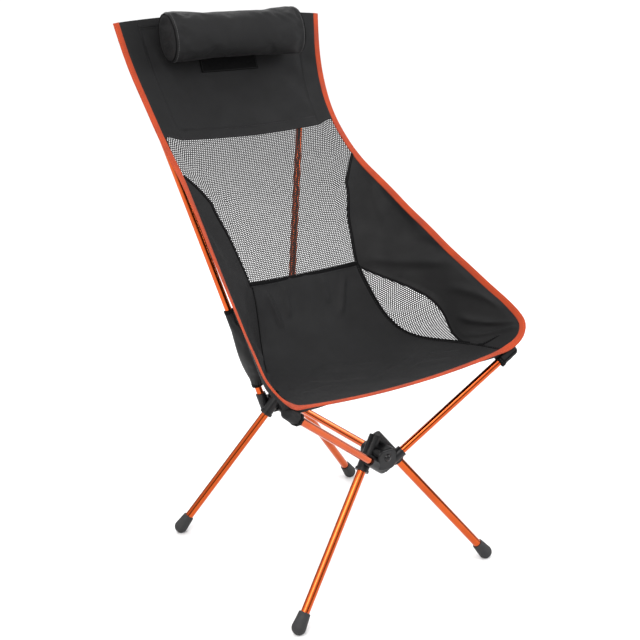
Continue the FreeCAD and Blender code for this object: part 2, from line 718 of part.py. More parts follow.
def cornerPocket(apex, end, clearOf):
    """A padded pocket round a left pole's cap, trimmed where the sling lies against it."""
    direction = axisOf(apex, end)
    radius = capRadius + size("pocketClearance")
    length = size("pocketLength")
    wall = size("pocketWall")
    start = end - direction * (length - wall - size("pocketClearance"))
    outer = Part.makeCylinder(radius + wall, length, start, direction)
    roundEdges = [edge for edge in outer.Edges if edge.Closed and
                  (edge.CenterOfMass - start).dot(direction) > length / 2]
    outer = outer.makeFillet(size("pocketRound"), roundEdges)
    inner = Part.makeCylinder(radius, length - wall, start, direction)
    pocket = outer.cut(inner)
    for other in clearOf:
        pocket = pocket.cut(subParts[other].Shape)
    solids = sorted(pocket.Solids, key=lambda solid: solid.Volume)
    return solids[-1]


def pockets():
    front = cornerPocket(seatPoleApex, seatPoleTip,
                         ("side_wing_left", "side_binding_left", "front_binding", "seat_panel"))
    top = cornerPocket(backPoleApex, backPoleTip, ("upper_back_panel", "side_binding_left"))
    for place, pocket in (("front", front), ("top", top)):
        fixedShape(place + "_pocket_left", pocket)
        fixedShape(place + "_pocket_right", pocket.mirror(Vector(0, 0, 0), Vector(1, 0, 0)))


def pillow():
    body = document.addObject("PartDesign::Body", "headrest_pillow")
    outline = body.newObject("Sketcher::SketchObject", "pillowOutline")
    plane = [plane for plane in body.Origin.OriginFeatures if plane.Role == "YZ_Plane"][0]
    outline.AttachmentSupport = [(plane, "")]
    outline.MapMode = "FlatFace"
    tall = size("pillowHeight") / 2
    deep = size("pillowDepth") / 2
    ellipse = Part.Ellipse(Vector(0, 0, 0), tall, deep)
    ellipse.AngleXU = math.pi / 2
    outline.addGeometry(ellipse, False)
    pad = body.newObject("PartDesign::Pad", "pillowPad")
    pad.Profile = outline
    pad.setExpression("Length", "Sizes.pillowLength")
    pad.SideType = "Symmetric"
    body.Tip = pad
    document.recompute()
    rounded = body.newObject("PartDesign::Fillet", "pillowRounded")
    rounded.Base = (pad, ["Edge%d" % number for number, edge in enumerate(pad.Shape.Edges, start=1)
                          if edge.Closed])
    rounded.setExpression("Radius", "Sizes.pillowEdge")
    body.Tip = rounded
    tilt = math.radians(size("pillowTilt"))
    forward = Vector(0, -math.cos(tilt), math.sin(tilt))
    rest = slingAtHeight(size("backTopHeight") - size("pillowDrop"))
    centre = rest + forward * (size("pillowDepth") / 2 + size("pillowGap"))
    body.Placement = Placement(centre, Rotation(Vector(1, 0, 0), -size("pillowTilt")))
    keep("headrest_pillow", body)


def slingAtHeight(height):
    low, high = 0.0, meshTopStation
    for _ in range(40):
        middle = (low + high) / 2
        if centreRail.value(middle).z > height:
            low = middle
        else:
            high = middle
    return centreRail.value(low)


def pillowPatch():
    """The hook-and-loop patch that the headrest sticks to, sewn on the sling's front."""
    half = size("patchWidth") / 2
    grid = []
    for station in spread(*patchStations, 5):
        row = []
        for place in spread(-half, half, 5):
            share = place / bindingInner(station).x
            row.append(acrossCentre(station, share, bindingInner))
        grid.append(row)
    near = size("panelThickness") / 2 + size("patchGap")
    far = near + size("patchThickness")
    solid = sheetSolid(grid, near, far)
    if solid.CenterOfMass.y > grid[2][2].y:
        solid = sheetSolid(grid, -far, -near)
    fixedShape("headrest_patch", solid)


def pouch():
    """A storage pouch that wraps the sitter's right back pole above the hub."""
    direction = axisOf(backPoleApex, mirroredX(backPoleTip, -1))
    inwardWay = Vector(0, -1, 0).cross(direction).normalize().cross(direction).normalize()
    if inwardWay.y > 0:
        inwardWay = inwardWay * -1
    sideways = direction.cross(inwardWay).normalize()
    sections = []
    start, end = size("pouchStart"), size("pouchEnd")
    for share, fullness in pouchSections:
        wide = size("pouchHalfWidth") * fullness
        deep = max(size("pouchHalfDepth") * fullness, size("poleDiameter") / 2 + size("pouchWall"))
        centre = backPoleApex + direction * (start + (end - start) * share)
        overlap = size("poleDiameter") / 2 + size("pouchOverlap") * fullness
        centre = centre + inwardWay * max(0.0, wide - overlap)
        if wide >= deep:
            ellipse = Part.Ellipse(centre + inwardWay * wide, centre + sideways * deep, centre)
        else:
            ellipse = Part.Ellipse(centre + sideways * deep, centre + inwardWay * wide * -1, centre)
        sections.append(Part.Wire([ellipse.toShape()]))
    solid = Part.makeLoft(sections, True, False)
    hole = Part.makeCylinder(size("poleDiameter") / 2 + size("poleClearance"), 2 * (end - start),
                             backPoleApex + direction * (start - (end - start) / 2), direction)
    fixedShape("side_pouch", solid.cut(hole))


def centreOnFloor():
    """Set every sub-part so that the origin is below the middle of the whole chair."""
    boxes = [item.Shape.optimalBoundingBox() for item in subParts.values()]
    middle = (min(box.YMin for box in boxes) + max(box.YMax for box in boxes)) / 2
    for item in subParts.values():
        item.Placement = Placement(Vector(0, -middle, 0), Rotation()) * item.Placement
    print("middle of the feet is %.2f mm behind the origin" % -middle)


def checkAll():
    faults = []
    for item in document.Objects:
        if "Invalid" in item.State or "Error" in item.State:
            faults.append("%s: %s" % (item.Name, item.State))
    for name, item in subParts.items():
        if item.Shape.isNull() or not item.Shape.isValid() or item.Shape.Volume <= 0:
            faults.append("%s has no sound shape" % name)
    if faults:
        raise RuntimeError("; ".join(faults))


hub("front_hub", frontLegApex, frontFoot, seatPoleApex, seatPoleTip,
    size("seatSocketFloor"), size("seatSocketMouth"), -1)
hub("rear_hub", rearLegApex, rearFoot, backPoleApex, backPoleTip,
    size("backSocketFloor"), size("backSocketMouth"), 1)
centreBar()
rivets()
legs()
poles()
ferrules()
sling()
binding()
pockets()
pillowPatch()
pillow()
pouch()
document.recompute()
centreOnFloor()
document.recompute()
checkAll()

os.makedirs("parts", exist_ok=True)
for name, item in subParts.items():
    item.Shape.exportStep("parts/%s.step" % name)
    print("%-24s solids %d volume %9.1f mm3" % (name, len(item.Shape.Solids), item.Shape.Volume))
print("sub-parts: %d" % len(subParts))
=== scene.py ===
import bpy
import json
import math
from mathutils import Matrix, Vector, noise


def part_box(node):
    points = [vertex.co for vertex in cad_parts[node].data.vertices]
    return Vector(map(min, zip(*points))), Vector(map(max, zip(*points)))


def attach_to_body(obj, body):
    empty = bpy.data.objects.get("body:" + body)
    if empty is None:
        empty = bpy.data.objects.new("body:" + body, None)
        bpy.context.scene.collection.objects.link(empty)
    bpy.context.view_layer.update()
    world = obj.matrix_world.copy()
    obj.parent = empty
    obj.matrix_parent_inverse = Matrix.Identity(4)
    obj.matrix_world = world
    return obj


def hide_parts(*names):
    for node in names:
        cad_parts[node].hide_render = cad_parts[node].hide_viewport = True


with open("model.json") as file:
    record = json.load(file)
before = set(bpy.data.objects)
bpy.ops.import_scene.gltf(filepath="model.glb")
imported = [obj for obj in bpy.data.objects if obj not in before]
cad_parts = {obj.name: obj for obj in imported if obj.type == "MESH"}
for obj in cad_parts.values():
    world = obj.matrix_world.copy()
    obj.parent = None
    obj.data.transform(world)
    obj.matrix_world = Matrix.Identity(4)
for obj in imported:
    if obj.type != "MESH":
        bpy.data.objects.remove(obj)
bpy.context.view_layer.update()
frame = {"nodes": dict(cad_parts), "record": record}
nodes = frame["nodes"]
mounts = {mount["name"]: Vector(mount["pos_m"]) for mount in frame["record"]["mounts"]}
chairBody = "chair_frame"
sideNames = {1: "left", -1: "right"}

# Packable high-back chair. Metres, +Z up, the sitter faces -Y and +X is the sitter's left.
# The rigid parts come from the frame; this script sews the sling and finishes everything.


# the sling's shape, drawn from the same three lines as the CAD part
slingShape = {
    "frontFootDepth": 0.209,             # front feet in front of the middle of the feet
    "topCorner": (0.220, 0.358, 0.980),
    "frontCorner": (0.257, -0.224, 0.436),
    "wingTop": 4.0,                      # stations count from the top hem to the front edge
    "meshTop": 3.0,
    "meshBottom": 8.0,
    "leaf": (8.1, 12.9),
    "leafShare": 0.5,
    "wingSag": 0.005,
    "front": 13.9,
    "cornerStart": 12.95,                # the front corners are rounded from here
    "cornerCut": 0.52,
    # each station: share along the line from front corner to top corner, then inward, then below it
    "edge": (
        (1.00, -0.002, 0.003), (0.91, 0.014, 0.042), (0.82, 0.028, 0.065), (0.73, 0.036, 0.076),
        (0.63, 0.039, 0.073), (0.56, 0.035, 0.065), (0.49, 0.028, 0.054), (0.42, 0.021, 0.045),
        (0.35, 0.013, 0.034), (0.28, 0.006, 0.024), (0.212, -0.002, 0.012), (0.15, -0.009, 0.001),
        (0.095, -0.015, -0.010), (0.045, -0.017, -0.017), (-0.004, -0.005, -0.023),
    ),
    "seam": (
        (1.00, 0.090, 0.002), (0.91, 0.095, 0.045), (0.82, 0.095, 0.070), (0.73, 0.092, 0.082),
        (0.64, 0.092, 0.085), (0.553, 0.085, 0.088), (0.483, 0.102, 0.107), (0.423, 0.113, 0.122),
        (0.363, 0.122, 0.137), (0.295, 0.119, 0.149), (0.230, 0.109, 0.159), (0.168, 0.093, 0.154),
        (0.115, 0.070, 0.123), (0.055, 0.044, 0.068), (-0.014, 0.033, 0.005),
    ),
    "centre": (
        (1.012, 0.0), (0.91, 0.047), (0.82, 0.072), (0.725, 0.085), (0.645, 0.091), (0.562, 0.102),
        (0.488, 0.117), (0.428, 0.131), (0.366, 0.146), (0.297, 0.162), (0.228, 0.170),
        (0.154, 0.162), (0.086, 0.132), (0.030, 0.083), (-0.023, 0.017),
    ),
}

feetMiddle = Vector((0, mounts["front_foot_left_sole"].y + slingShape["frontFootDepth"], 0))
topCorner = feetMiddle + Vector(slingShape["topCorner"])
frontCorner = feetMiddle + Vector(slingShape["frontCorner"])


def smoothLine(points):
    # a curve through the points with no kinks: each span bends as its neighbours need
    count = len(points)
    bends = [Vector((0, 0, 0)) for _ in points]
    factors = [0.0] * count
    loads = [Vector((0, 0, 0)) for _ in points]
    for i in range(1, count - 1):
        divisor = 4 - factors[i - 1]
        factors[i] = 1 / divisor
        loads[i] = (6 * (points[i - 1] - 2 * points[i] + points[i + 1]) - loads[i - 1]) / divisor
    for i in range(count - 2, 0, -1):
        bends[i] = loads[i] - factors[i] * bends[i + 1]

    def at(place):
        i = min(max(int(place), 0), count - 2)
        t = place - i
        s = 1 - t
        return (points[i] * s + points[i + 1] * t
                + ((s ** 3 - s) * bends[i] + (t ** 3 - t) * bends[i + 1]) / 6)
    return at


def chordPoint(along, inward, below):
    chord = topCorner - frontCorner
    run = Vector((0, chord.y, chord.z)).normalized()
    point = frontCorner + chord * along + Vector((0, run.z, -run.y)) * below
    point.x -= inward
    return point


def centrePoint(along, below):
    point = chordPoint(along, 0, below)
    point.x = 0
    return point


edgeAt = smoothLine([chordPoint(*station) for station in slingShape["edge"]])
seamLineAt = smoothLine([chordPoint(*station) for station in slingShape["seam"]])
centreAt = smoothLine([centrePoint(*station) for station in slingShape["centre"]])


def clamp(value, low=0.0, high=1.0):
    return min(high, max(low, value))


def smoothStep(value):
    value = clamp(value)
    return value * value * (3 - 2 * value)


def bump(value, centre, width):
    return math.exp(-((value - centre) / width) ** 2)


def seamAt(station):
    share = clamp(station - slingShape["wingTop"])
    return edgeAt(station).lerp(seamLineAt(station), share)


def middlePoint(station, share):
    # on the middle strip, share from -1 to 1 between the side seams
    middle = centreAt(station)
    side = seamAt(station)
    bow = share * share
    return Vector((side.x * share, middle.y + (side.y - middle.y) * bow,
                   middle.z + (side.z - middle.z) * bow))


def wingPoint(station, share):
    # on the left side wing, share from 0 at the seam to 1 at the edge tape
    seam = seamAt(station)
    side = edgeAt(station)
    hollow = slingShape["wingSag"] * min(1.0, (side - seam).length / 0.1) * 4 * share * (1 - share)
    return seam + (side - seam) * share + Vector((0.3, 0.55, -0.78)) * hollow


def cornerShare(station):
    turn = clamp((station - slingShape["cornerStart"]) / (slingShape["front"] - slingShape["cornerStart"]))
    return 1 - slingShape["cornerCut"] * (1 - math.sqrt(max(0.0, 1 - turn ** 3)))


def leafWidth(station):
    first, last = slingShape["leaf"]
    if station <= first or station >= last:
        return 0.0
    return slingShape["leafShare"] * math.sin(math.pi * (station - first) / (last - first))


def mirrored(point, side):
    return Vector((point.x * side, point.y, point.z))


def tubeLine(node):
    # the two ends of a straight tube's axis, the lower end first
    low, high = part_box(node)
    centre = (low + high) / 2
    points = [vertex.co - centre for vertex in nodes[node].data.vertices]
    axis = (high - low).normalized()
    if sum(point.x * point.z for point in points) < 0:
        axis.x *= -1
    if sum(point.y * point.z for point in points) < 0:
        axis.y *= -1
    for _ in range(12):
        pull = Vector((0, 0, 0))
        for point in points:
            pull += point * point.dot(axis)
        axis = pull.normalized()
    reach = max(point.dot(axis) for point in points)
    if axis.z < 0:
        axis *= -1
    return centre - axis * reach, centre + axis * reach


# finishes, all made from noise, waves and weaves
def newMaterial(name):
    material = bpy.data.materials.new(name)
    material.use_nodes = True
    tree = material.node_tree
    tree.nodes.clear()
    shader = tree.nodes.new("ShaderNodeBsdfPrincipled")
    output = tree.nodes.new("ShaderNodeOutputMaterial")
    tree.links.new(shader.outputs[0], output.inputs[0])
    return material, tree, shader


def setInputs(tree, made, values):
    # a value may be a number, a colour or another node's output
    for key, value in values.items():
        if hasattr(value, "is_output"):
            tree.links.new(value, made.inputs[key])
        else:
            made.inputs[key].default_value = value


def node(tree, kind, values=None, **settings):
    made = tree.nodes.new(kind)
    for key, value in settings.items():
        setattr(made, key, value)
    setInputs(tree, made, values or {})
    return made


def coordinates(tree, kind):
    return node(tree, "ShaderNodeTexCoord").outputs[kind]


def maths(tree, operation, first, second=0.0):
    return node(tree, "ShaderNodeMath", {0: first, 1: second}, operation=operation).outputs[0]


def mixColours(tree, share, first, second, **settings):
    values = {0: share, 6: first, 7: second}
    return node(tree, "ShaderNodeMix", values, data_type="RGBA", **settings).outputs[2]


def ramp(tree, value, low, high, fromValue=0.3, toValue=0.7):
    # spreads a 0 to 1 value between two numbers or two colours
    if isinstance(low, tuple):
        share = ramp(tree, value, 0.0, 1.0, fromValue, toValue)
        return mixColours(tree, share, (*low, 1), (*high, 1))
    return node(tree, "ShaderNodeMapRange", {"Value": value, "From Min": fromValue, "From Max": toValue,
                                             "To Min": low, "To Max": high}).outputs[0]


def noiseAt(tree, scale, detail=3.0, vector=None, stretch=None):
    if vector is None:
        vector = coordinates(tree, "Object")
    if stretch is not None:
        turn, scales = stretch
        vector = node(tree, "ShaderNodeMapping", {"Vector": vector, "Rotation": turn}).outputs[0]
        vector = node(tree, "ShaderNodeMapping", {"Vector": vector, "Scale": scales}).outputs[0]
    made = node(tree, "ShaderNodeTexNoise", {"Vector": vector, "Scale": scale, "Detail": detail})
    return made.outputs["Fac"]


def setBump(tree, shader, height, strength, distance, before=None):
    made = node(tree, "ShaderNodeBump", {"Height": height, "Strength": strength, "Distance": distance})
    if before is not None:
        tree.links.new(before, made.inputs["Normal"])
    tree.links.new(made.outputs[0], shader.inputs["Normal"])
    return made.outputs[0]


def waves(tree, value, pitch):
    # runs from 0 to 1 and back once each pitch
    turned = maths(tree, "MULTIPLY", value, 2 * math.pi / pitch)
    return maths(tree, "MULTIPLY_ADD", maths(tree, "SINE", turned), 0.5)


def wovenHeight(tree, vector, pitch):
    # plain weave: warp and weft rise in turn
    parts = node(tree, "ShaderNodeSeparateXYZ", {"Vector": vector})
    along, across = (maths(tree, "SINE", maths(tree, "MULTIPLY", part, math.pi / pitch))
                     for part in (parts.outputs[0], parts.outputs[1]))
    crossing = maths(tree, "MULTIPLY", along, across)
    return maths(tree, "ADD", maths(tree, "MULTIPLY", crossing, 0.5), 0.5)


clothLook = {
    "shade": (0.0036, 0.0036, 0.0040),
    "lightShade": (0.0074, 0.0074, 0.0078),
    "threadPitch": 0.0006,
    "roughness": (0.58, 0.78),
    "sheen": 0.02,
    "sheenRoughness": 0.45,
    "shine": 0.24,
}


def wovenCloth(name, look, useSurface=True, slub=0.35):
    material, tree, shader = newMaterial(name)
    vector = coordinates(tree, "UV" if useSurface else "Object")
    weave = wovenHeight(tree, vector, look["threadPitch"])
    patches = noiseAt(tree, 22, 4)
    fine = noiseAt(tree, 900, 2, vector)
    colour = ramp(tree, patches, look["shade"], look["lightShade"], 0.25, 0.8)
    threads = ramp(tree, weave, (0.45, 0.45, 0.45), (1.5, 1.5, 1.5), 0.0, 1.0)
    setInputs(tree, shader, {
        "Base Color": mixColours(tree, slub, colour, threads, blend_type="MULTIPLY"),
        "Roughness": ramp(tree, patches, *look["roughness"]),
        "Sheen Weight": look["sheen"],
        "Sheen Roughness": look["sheenRoughness"],
        "Specular IOR Level": look["shine"],
    })
    first = setBump(tree, shader, weave, 0.5, 0.00025)
    second = setBump(tree, shader, fine, 0.15, 0.0003, first)
    setBump(tree, shader, noiseAt(tree, 60, 3), 0.12, 0.0015, second)
    return material


tapeLook = {
    "shade": (0.32, 0.032, 0.005),
    "lightShade": (0.43, 0.048, 0.008),
    "ribPitch": 0.0011,
    "sheen": 0.05,
}


def grosgrain(name, look):
    material, tree, shader = newMaterial(name)
    parts = node(tree, "ShaderNodeSeparateXYZ", {"Vector": coordinates(tree, "UV")})
    ribs = waves(tree, parts.outputs[1], look["ribPitch"])
    warp = waves(tree, parts.outputs[0], look["ribPitch"] * 0.45)
    patches = noiseAt(tree, 35, 4)
    setInputs(tree, shader, {
        "Base Color": ramp(tree, patches, look["shade"], look["lightShade"]),
        "Roughness": ramp(tree, patches, 0.62, 0.8),
        "Sheen Weight": look["sheen"],
        "Specular IOR Level": 0.35,
    })
    first = setBump(tree, shader, ribs, 0.6, 0.0003)
    setBump(tree, shader, warp, 0.25, 0.0002, first)
    return material


tubeLook = {
    "deep": (0.47, 0.066, 0.006),
    "bright": (0.57, 0.090, 0.009),
    "roughness": (0.12, 0.20),
}


def anodised(name, look, axis):
    # drawn tube: fine lines run along the axis under a coloured, glossy skin
    material, tree, shader = newMaterial(name)
    turn = axis.to_track_quat("Z", "Y").inverted().to_euler()
    lines = noiseAt(tree, 1.0, 3, stretch=(turn, (1100, 1100, 6)))
    blotches = noiseAt(tree, 14, 3)
    setInputs(tree, shader, {
        "Base Color": ramp(tree, blotches, look["deep"], look["bright"]),
        "Roughness": ramp(tree, lines, *look["roughness"]),
        "Metallic": 1.0,
        "Coat Weight": 0.35,
        "Coat Roughness": 0.12,
    })
    first = setBump(tree, shader, lines, 0.08, 0.0001)
    marks = ramp(tree, noiseAt(tree, 380, 5), 0.0, 1.0, 0.62, 0.75)
    setBump(tree, shader, marks, 0.08, 0.0002, first)
    return material


def milledAluminium(name):
    material, tree, shader = newMaterial(name)
    grain = noiseAt(tree, 700, 4)
    setInputs(tree, shader, {
        "Base Color": ramp(tree, grain, (0.62, 0.62, 0.64), (0.78, 0.78, 0.79)),
        "Roughness": ramp(tree, grain, 0.25, 0.45),
        "Metallic": 1.0,
    })
    setBump(tree, shader, grain, 0.2, 0.0001)
    return material


nylonLook = {
    "shade": (0.0040, 0.0040, 0.0046),
    "worn": (0.022, 0.022, 0.024),
    "roughness": (0.30, 0.46),
    "shine": 0.30,
}


def mouldedNylon(name, look, texture=1400, wear=0.6):
    material, tree, shader = newMaterial(name)
    spark = noiseAt(tree, texture, 2)
    clouds = noiseAt(tree, 45, 4)
    edges = node(tree, "ShaderNodeNewGeometry").outputs["Pointiness"]
    rubbed = maths(tree, "MULTIPLY", ramp(tree, edges, 0.0, wear, 0.53, 0.62), clouds)
    setInputs(tree, shader, {
        "Base Color": mixColours(tree, rubbed, (*look["shade"], 1), (*look["worn"], 1)),
        "Roughness": ramp(tree, clouds, *look["roughness"]),
        "Specular IOR Level": look["shine"],
    })
    first = setBump(tree, shader, spark, 0.22, 0.00015)
    setBump(tree, shader, clouds, 0.08, 0.0006, first)
    return material


def footRubber(name):
    material, tree, shader = newMaterial(name)
    grain = noiseAt(tree, 800, 3)
    dust = noiseAt(tree, 55, 5)
    setInputs(tree, shader, {
        "Base Color": ramp(tree, dust, (0.013, 0.013, 0.014), (0.030, 0.029, 0.028), 0.45, 0.75),
        "Roughness": ramp(tree, dust, 0.6, 0.85),
    })
    setBump(tree, shader, grain, 0.3, 0.0002)
    return material


def braidedCord(name):
    material, tree, shader = newMaterial(name)
    weave = wovenHeight(tree, coordinates(tree, "Object"), 0.0007)
    setInputs(tree, shader, {
        "Base Color": ramp(tree, weave, (0.012, 0.012, 0.012), (0.05, 0.05, 0.05), 0.0, 1.0),
        "Roughness": ramp(tree, noiseAt(tree, 90), 0.6, 0.85),
        "Sheen Weight": 0.3,
    })
    setBump(tree, shader, weave, 0.8, 0.0003)
    return material


def hookPile(name):
    material, tree, shader = newMaterial(name)
    values = {"Scale": 900.0, "Vector": coordinates(tree, "Object")}
    loops = node(tree, "ShaderNodeTexVoronoi", values).outputs["Distance"]
    setInputs(tree, shader, {
        # pile colours: the patch's own near-black, darkened further as painted shadow from the bolster that
        # hangs over the patch
        "Base Color": ramp(tree, loops, (0.006, 0.006, 0.0065), (0.002, 0.002, 0.002), 0.0, 0.8),
        "Roughness": ramp(tree, noiseAt(tree, 200), 0.8, 0.95),
        "Specular IOR Level": 0.1,
    })
    setBump(tree, shader, loops, 0.8, 0.0006)
    return material


def threadFinish(name, colour):
    material, tree, shader = newMaterial(name)
    twist = noiseAt(tree, 1500, 2)
    light = tuple(value * 1.6 for value in colour)
    setInputs(tree, shader, {
        "Base Color": ramp(tree, twist, colour, light),
        "Roughness": ramp(tree, twist, 0.5, 0.75),
        "Specular IOR Level": 0.15,
    })
    setBump(tree, shader, twist, 0.4, 0.0002)
    return material


slingCloth = wovenCloth("sling cloth", clothLook)
pocketCloth = wovenCloth("pocket cloth", {**clothLook, "threadPitch": 0.0009}, slub=0.5)
pillowCloth = wovenCloth("headrest cloth", {**clothLook, "threadPitch": 0.0007}, useSurface=False)
seamCloth = wovenCloth("seam tape", {**clothLook, "shade": (0.0012, 0.0012, 0.0014), "shine": 0.08,
                                     "lightShade": (0.0024, 0.0024, 0.0026)})
orangeTape = grosgrain("orange edge tape", tapeLook)
netThread = threadFinish("net thread", (0.009, 0.009, 0.009))
sewingThread = threadFinish("sewing thread", (0.035, 0.035, 0.036))
paleThread = threadFinish("pale thread", (0.11, 0.11, 0.11))
orangeThread = threadFinish("orange thread", (0.50, 0.085, 0.02))
hookPaintedShadowFinish = hookPile("hook and loop")
print("materials ready")


# tools that make pieces and sew along them
def makePiece(name, points, faces, material, surfacePlaces=None, smooth=True):
    mesh = bpy.data.meshes.new(name)
    mesh.from_pydata([tuple(point) for point in points], [], faces)
    if surfacePlaces is not None:
        layer = mesh.uv_layers.new(name="cut")
        for loop in mesh.loops:
            layer.data[loop.index].uv = surfacePlaces[loop.vertex_index]
    mesh.polygons.foreach_set("use_smooth", [smooth] * len(mesh.polygons))
    mesh.materials.append(material)
    mesh.update()
    piece = bpy.data.objects.new(name, mesh)
    bpy.context.scene.collection.objects.link(piece)
    return piece


def addModifier(piece, kind, **settings):
    modifier = piece.modifiers.new(kind.title(), kind)
    for key, value in settings.items():
        setattr(modifier, key, value)
    return modifier


def applyModifiers(piece):
    graph = bpy.context.evaluated_depsgraph_get()
    mesh = bpy.data.meshes.new_from_object(piece.evaluated_get(graph))
    piece.modifiers.clear()
    piece.data = mesh


def attach(piece, body=chairBody):
    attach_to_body(piece, body)
    return piece


def gridNormals(grid):
    normals = []
    rows, columns = len(grid), len(grid[0])
    for r in range(rows):
        line = []
        for c in range(columns):
            down = grid[min(r + 1, rows - 1)][c] - grid[max(r - 1, 0)][c]
            right = grid[r][min(c + 1, columns - 1)] - grid[r][max(c - 1, 0)]
            line.append(down.cross(right).normalized())
        normals.append(line)
    return normals


def clothPanel(name, surface, rows, columns, thickness, material, relief=None, side=1):
    # surface takes (along, across) from 0 to 1; relief lifts it towards the sitter
    grid = [[mirrored(surface(r / (rows - 1), c / (columns - 1)), side) for c in range(columns)]
            for r in range(rows)]
    normals = gridNormals(grid)
    middle = columns // 2
    places = []
    points = []
    run = 0.0
    for r in range(rows):
        if r:
            run += (grid[r][middle] - grid[r - 1][middle]).length
        reach = [0.0]
        for c in range(1, columns):
            reach.append(reach[-1] + (grid[r][c] - grid[r][c - 1]).length)
        for c in range(columns):
            lift = relief(reach[c], reach[-1] - reach[c], run, r / (rows - 1)) if relief else 0.0
            points.append(grid[r][c] + normals[r][c] * lift * side)
            places.append((reach[c] - reach[middle], run))
    faces = []
    for r in range(rows - 1):
        for c in range(columns - 1):
            first = r * columns + c
            corners = (first, first + columns, first + columns + 1, first + 1)
            faces.append(corners if side > 0 else corners[::-1])
    piece = makePiece(name, points, faces, material, places)
    addModifier(piece, "SOLIDIFY", thickness=thickness, offset=0.0)
    return piece


def tubeFaces(rings, count):
    faces = []
    for r in range(rings - 1):
        for i in range(count):
            k = (i + 1) % count
            faces.append((r * count + i, r * count + k, (r + 1) * count + k, (r + 1) * count + i))
    return faces


def flatSize(surface, rows=40, columns=12):
    # widest, longest and whole area of a panel before sewing, measured over its shape
    grid = [[surface(r / rows, c / columns) for c in range(columns + 1)] for r in range(rows + 1)]
    widths = [sum((row[c + 1] - row[c]).length for c in range(columns)) for row in grid]
    lengths = [sum((grid[r + 1][c] - grid[r][c]).length for r in range(rows)) for c in range(columns + 1)]
    area = 0.0
    for r in range(rows):
        for c in range(columns):
            first = grid[r + 1][c + 1] - grid[r][c]
            second = grid[r + 1][c] - grid[r][c + 1]
            area += first.cross(second).length / 2
    return max(widths), max(lengths), area


def declareSheet(piece, surface):
    width, length, area = flatSize(surface)
    print("%s: cut %.0f x %.0f mm" % (piece.name, width * 1000, length * 1000))


def sweep(name, path, normals, profile, material, closed=False):
    # carries a closed outline (sideways, up) along a path; normals point up at each point
    count = len(path)
    ring = len(profile)
    points = []
    places = []
    run = 0.0
    around = [0.0]
    for i in range(1, ring):
        around.append(around[-1] + math.dist(profile[i], profile[i - 1]))
    for i in range(count):
        before = path[i - 1] if closed or i else path[i]
        after = path[(i + 1) % count] if closed or i < count - 1 else path[i]
        along = (after - before).normalized()
        sideways = along.cross(normals[i]).normalized()
        up = sideways.cross(along).normalized()
        if i:
            run += (path[i] - path[i - 1]).length
        for j, (x, z) in enumerate(profile):
            points.append(path[i] + sideways * x + up * z)
            places.append((around[j], run))
    faces = []
    spans = count if closed else count - 1
    for i in range(spans):
        for j in range(ring):
            here, there = i * ring, ((i + 1) % count) * ring
            following = (j + 1) % ring
            faces.append((here + j, here + following, there + following, there + j))
    if not closed:
        faces.append(tuple(range(ring))[::-1])
        faces.append(tuple((count - 1) * ring + j for j in range(ring)))
    return makePiece(name, points, faces, material, places)


def roundedBand(width, thickness, steps=3):
    # outline of a flat tape with soft edges
    half, up = width / 2, thickness / 2
    corner = min(up * 0.95, half)
    outline = []
    for cx, cz, start in ((half - corner, up - corner, 0), (-half + corner, up - corner, 90),
                          (-half + corner, -up + corner, 180), (half - corner, -up + corner, 270)):
        for i in range(steps + 1):
            angle = math.radians(start + 90 * i / steps)
            outline.append((cx + corner * math.cos(angle), cz + corner * math.sin(angle)))
    return outline


def surfaceNormal(surface, along, across):
    step = 0.004
    down = surface(min(along + step, 1), across) - surface(max(along - step, 0), across)
    right = surface(along, min(across + step, 1)) - surface(along, max(across - step, 0))
    return down.cross(right).normalized()


def tracePath(surface, places, lift=0.0):
    # points and normals on a panel, along a list of (along, across) places
    path = []
    normals = []
    for along, across in places:
        normal = surfaceNormal(surface, along, across)
        path.append(surface(along, across) + normal * lift)
        normals.append(normal)
    return path, normals


def hemNormals(path):
    # away from the middle of a closed seam
    middle = sum(path, Vector()) / len(path)
    return [(point - middle).normalized() for point in path]


def spread(first, last, count):
    return [first + (last - first) * i / (count - 1) for i in range(count)]


def stitchRow(name, path, normals, material, pitch=0.0042, length=0.0030, width=0.00065):
    # one short raised thread per stitch, each with pointed ends that dive into the cloth
    points = []
    faces = []
    run = 0.0
    nextStitch = pitch / 2
    for i in range(1, len(path)):
        span = (path[i] - path[i - 1]).length
        while span > 0 and run + span >= nextStitch:
            share = (nextStitch - run) / span
            centre = path[i - 1].lerp(path[i], share)
            along = (path[i] - path[i - 1]).normalized()
            up = normals[i]
            sideways = along.cross(up).normalized()
            base = len(points)
            points += [centre - along * length / 2 - up * width * 0.4,
                       centre + along * length / 2 - up * width * 0.4]
            for place in (-length / 5, length / 5):
                points += [centre + along * place + sideways * width / 2,
                           centre + along * place + up * width / 2,
                           centre + along * place - sideways * width / 2,
                           centre + along * place - up * width / 2]
            for j in range(4):
                k = (j + 1) % 4
                faces += [(base, base + 2 + k, base + 2 + j), (base + 1, base + 6 + j, base + 6 + k),
                          (base + 2 + j, base + 2 + k, base + 6 + k, base + 6 + j)]
            nextStitch += pitch
        run += span
    return makePiece(name, points, faces, material)


def folds(lines, reach, run):
    # soft creases: each is (start across, start along, end across, end along, height, width)
    lift = 0.0
    for x1, y1, x2, y2, height, width in lines:
        dx, dy = x2 - x1, y2 - y1
        length = math.hypot(dx, dy)
        along = ((reach - x1) * dx + (run - y1) * dy) / length
        away = ((reach - x1) * dy - (run - y1) * dx) / length
        ends = smoothStep(along / (0.3 * length) + 0.15)
        ends *= smoothStep((length - along) / (0.3 * length) + 0.15)
        lift += height * ends * bump(away, 0, width)
    return lift


def ripples(kinds, reach, run):
    # broad unevenness: each kind is scale, height, seed
    return sum(height * noise.noise(Vector((reach * scale, run * scale, seed)))
               for scale, height, seed in kinds)


print("tools ready")


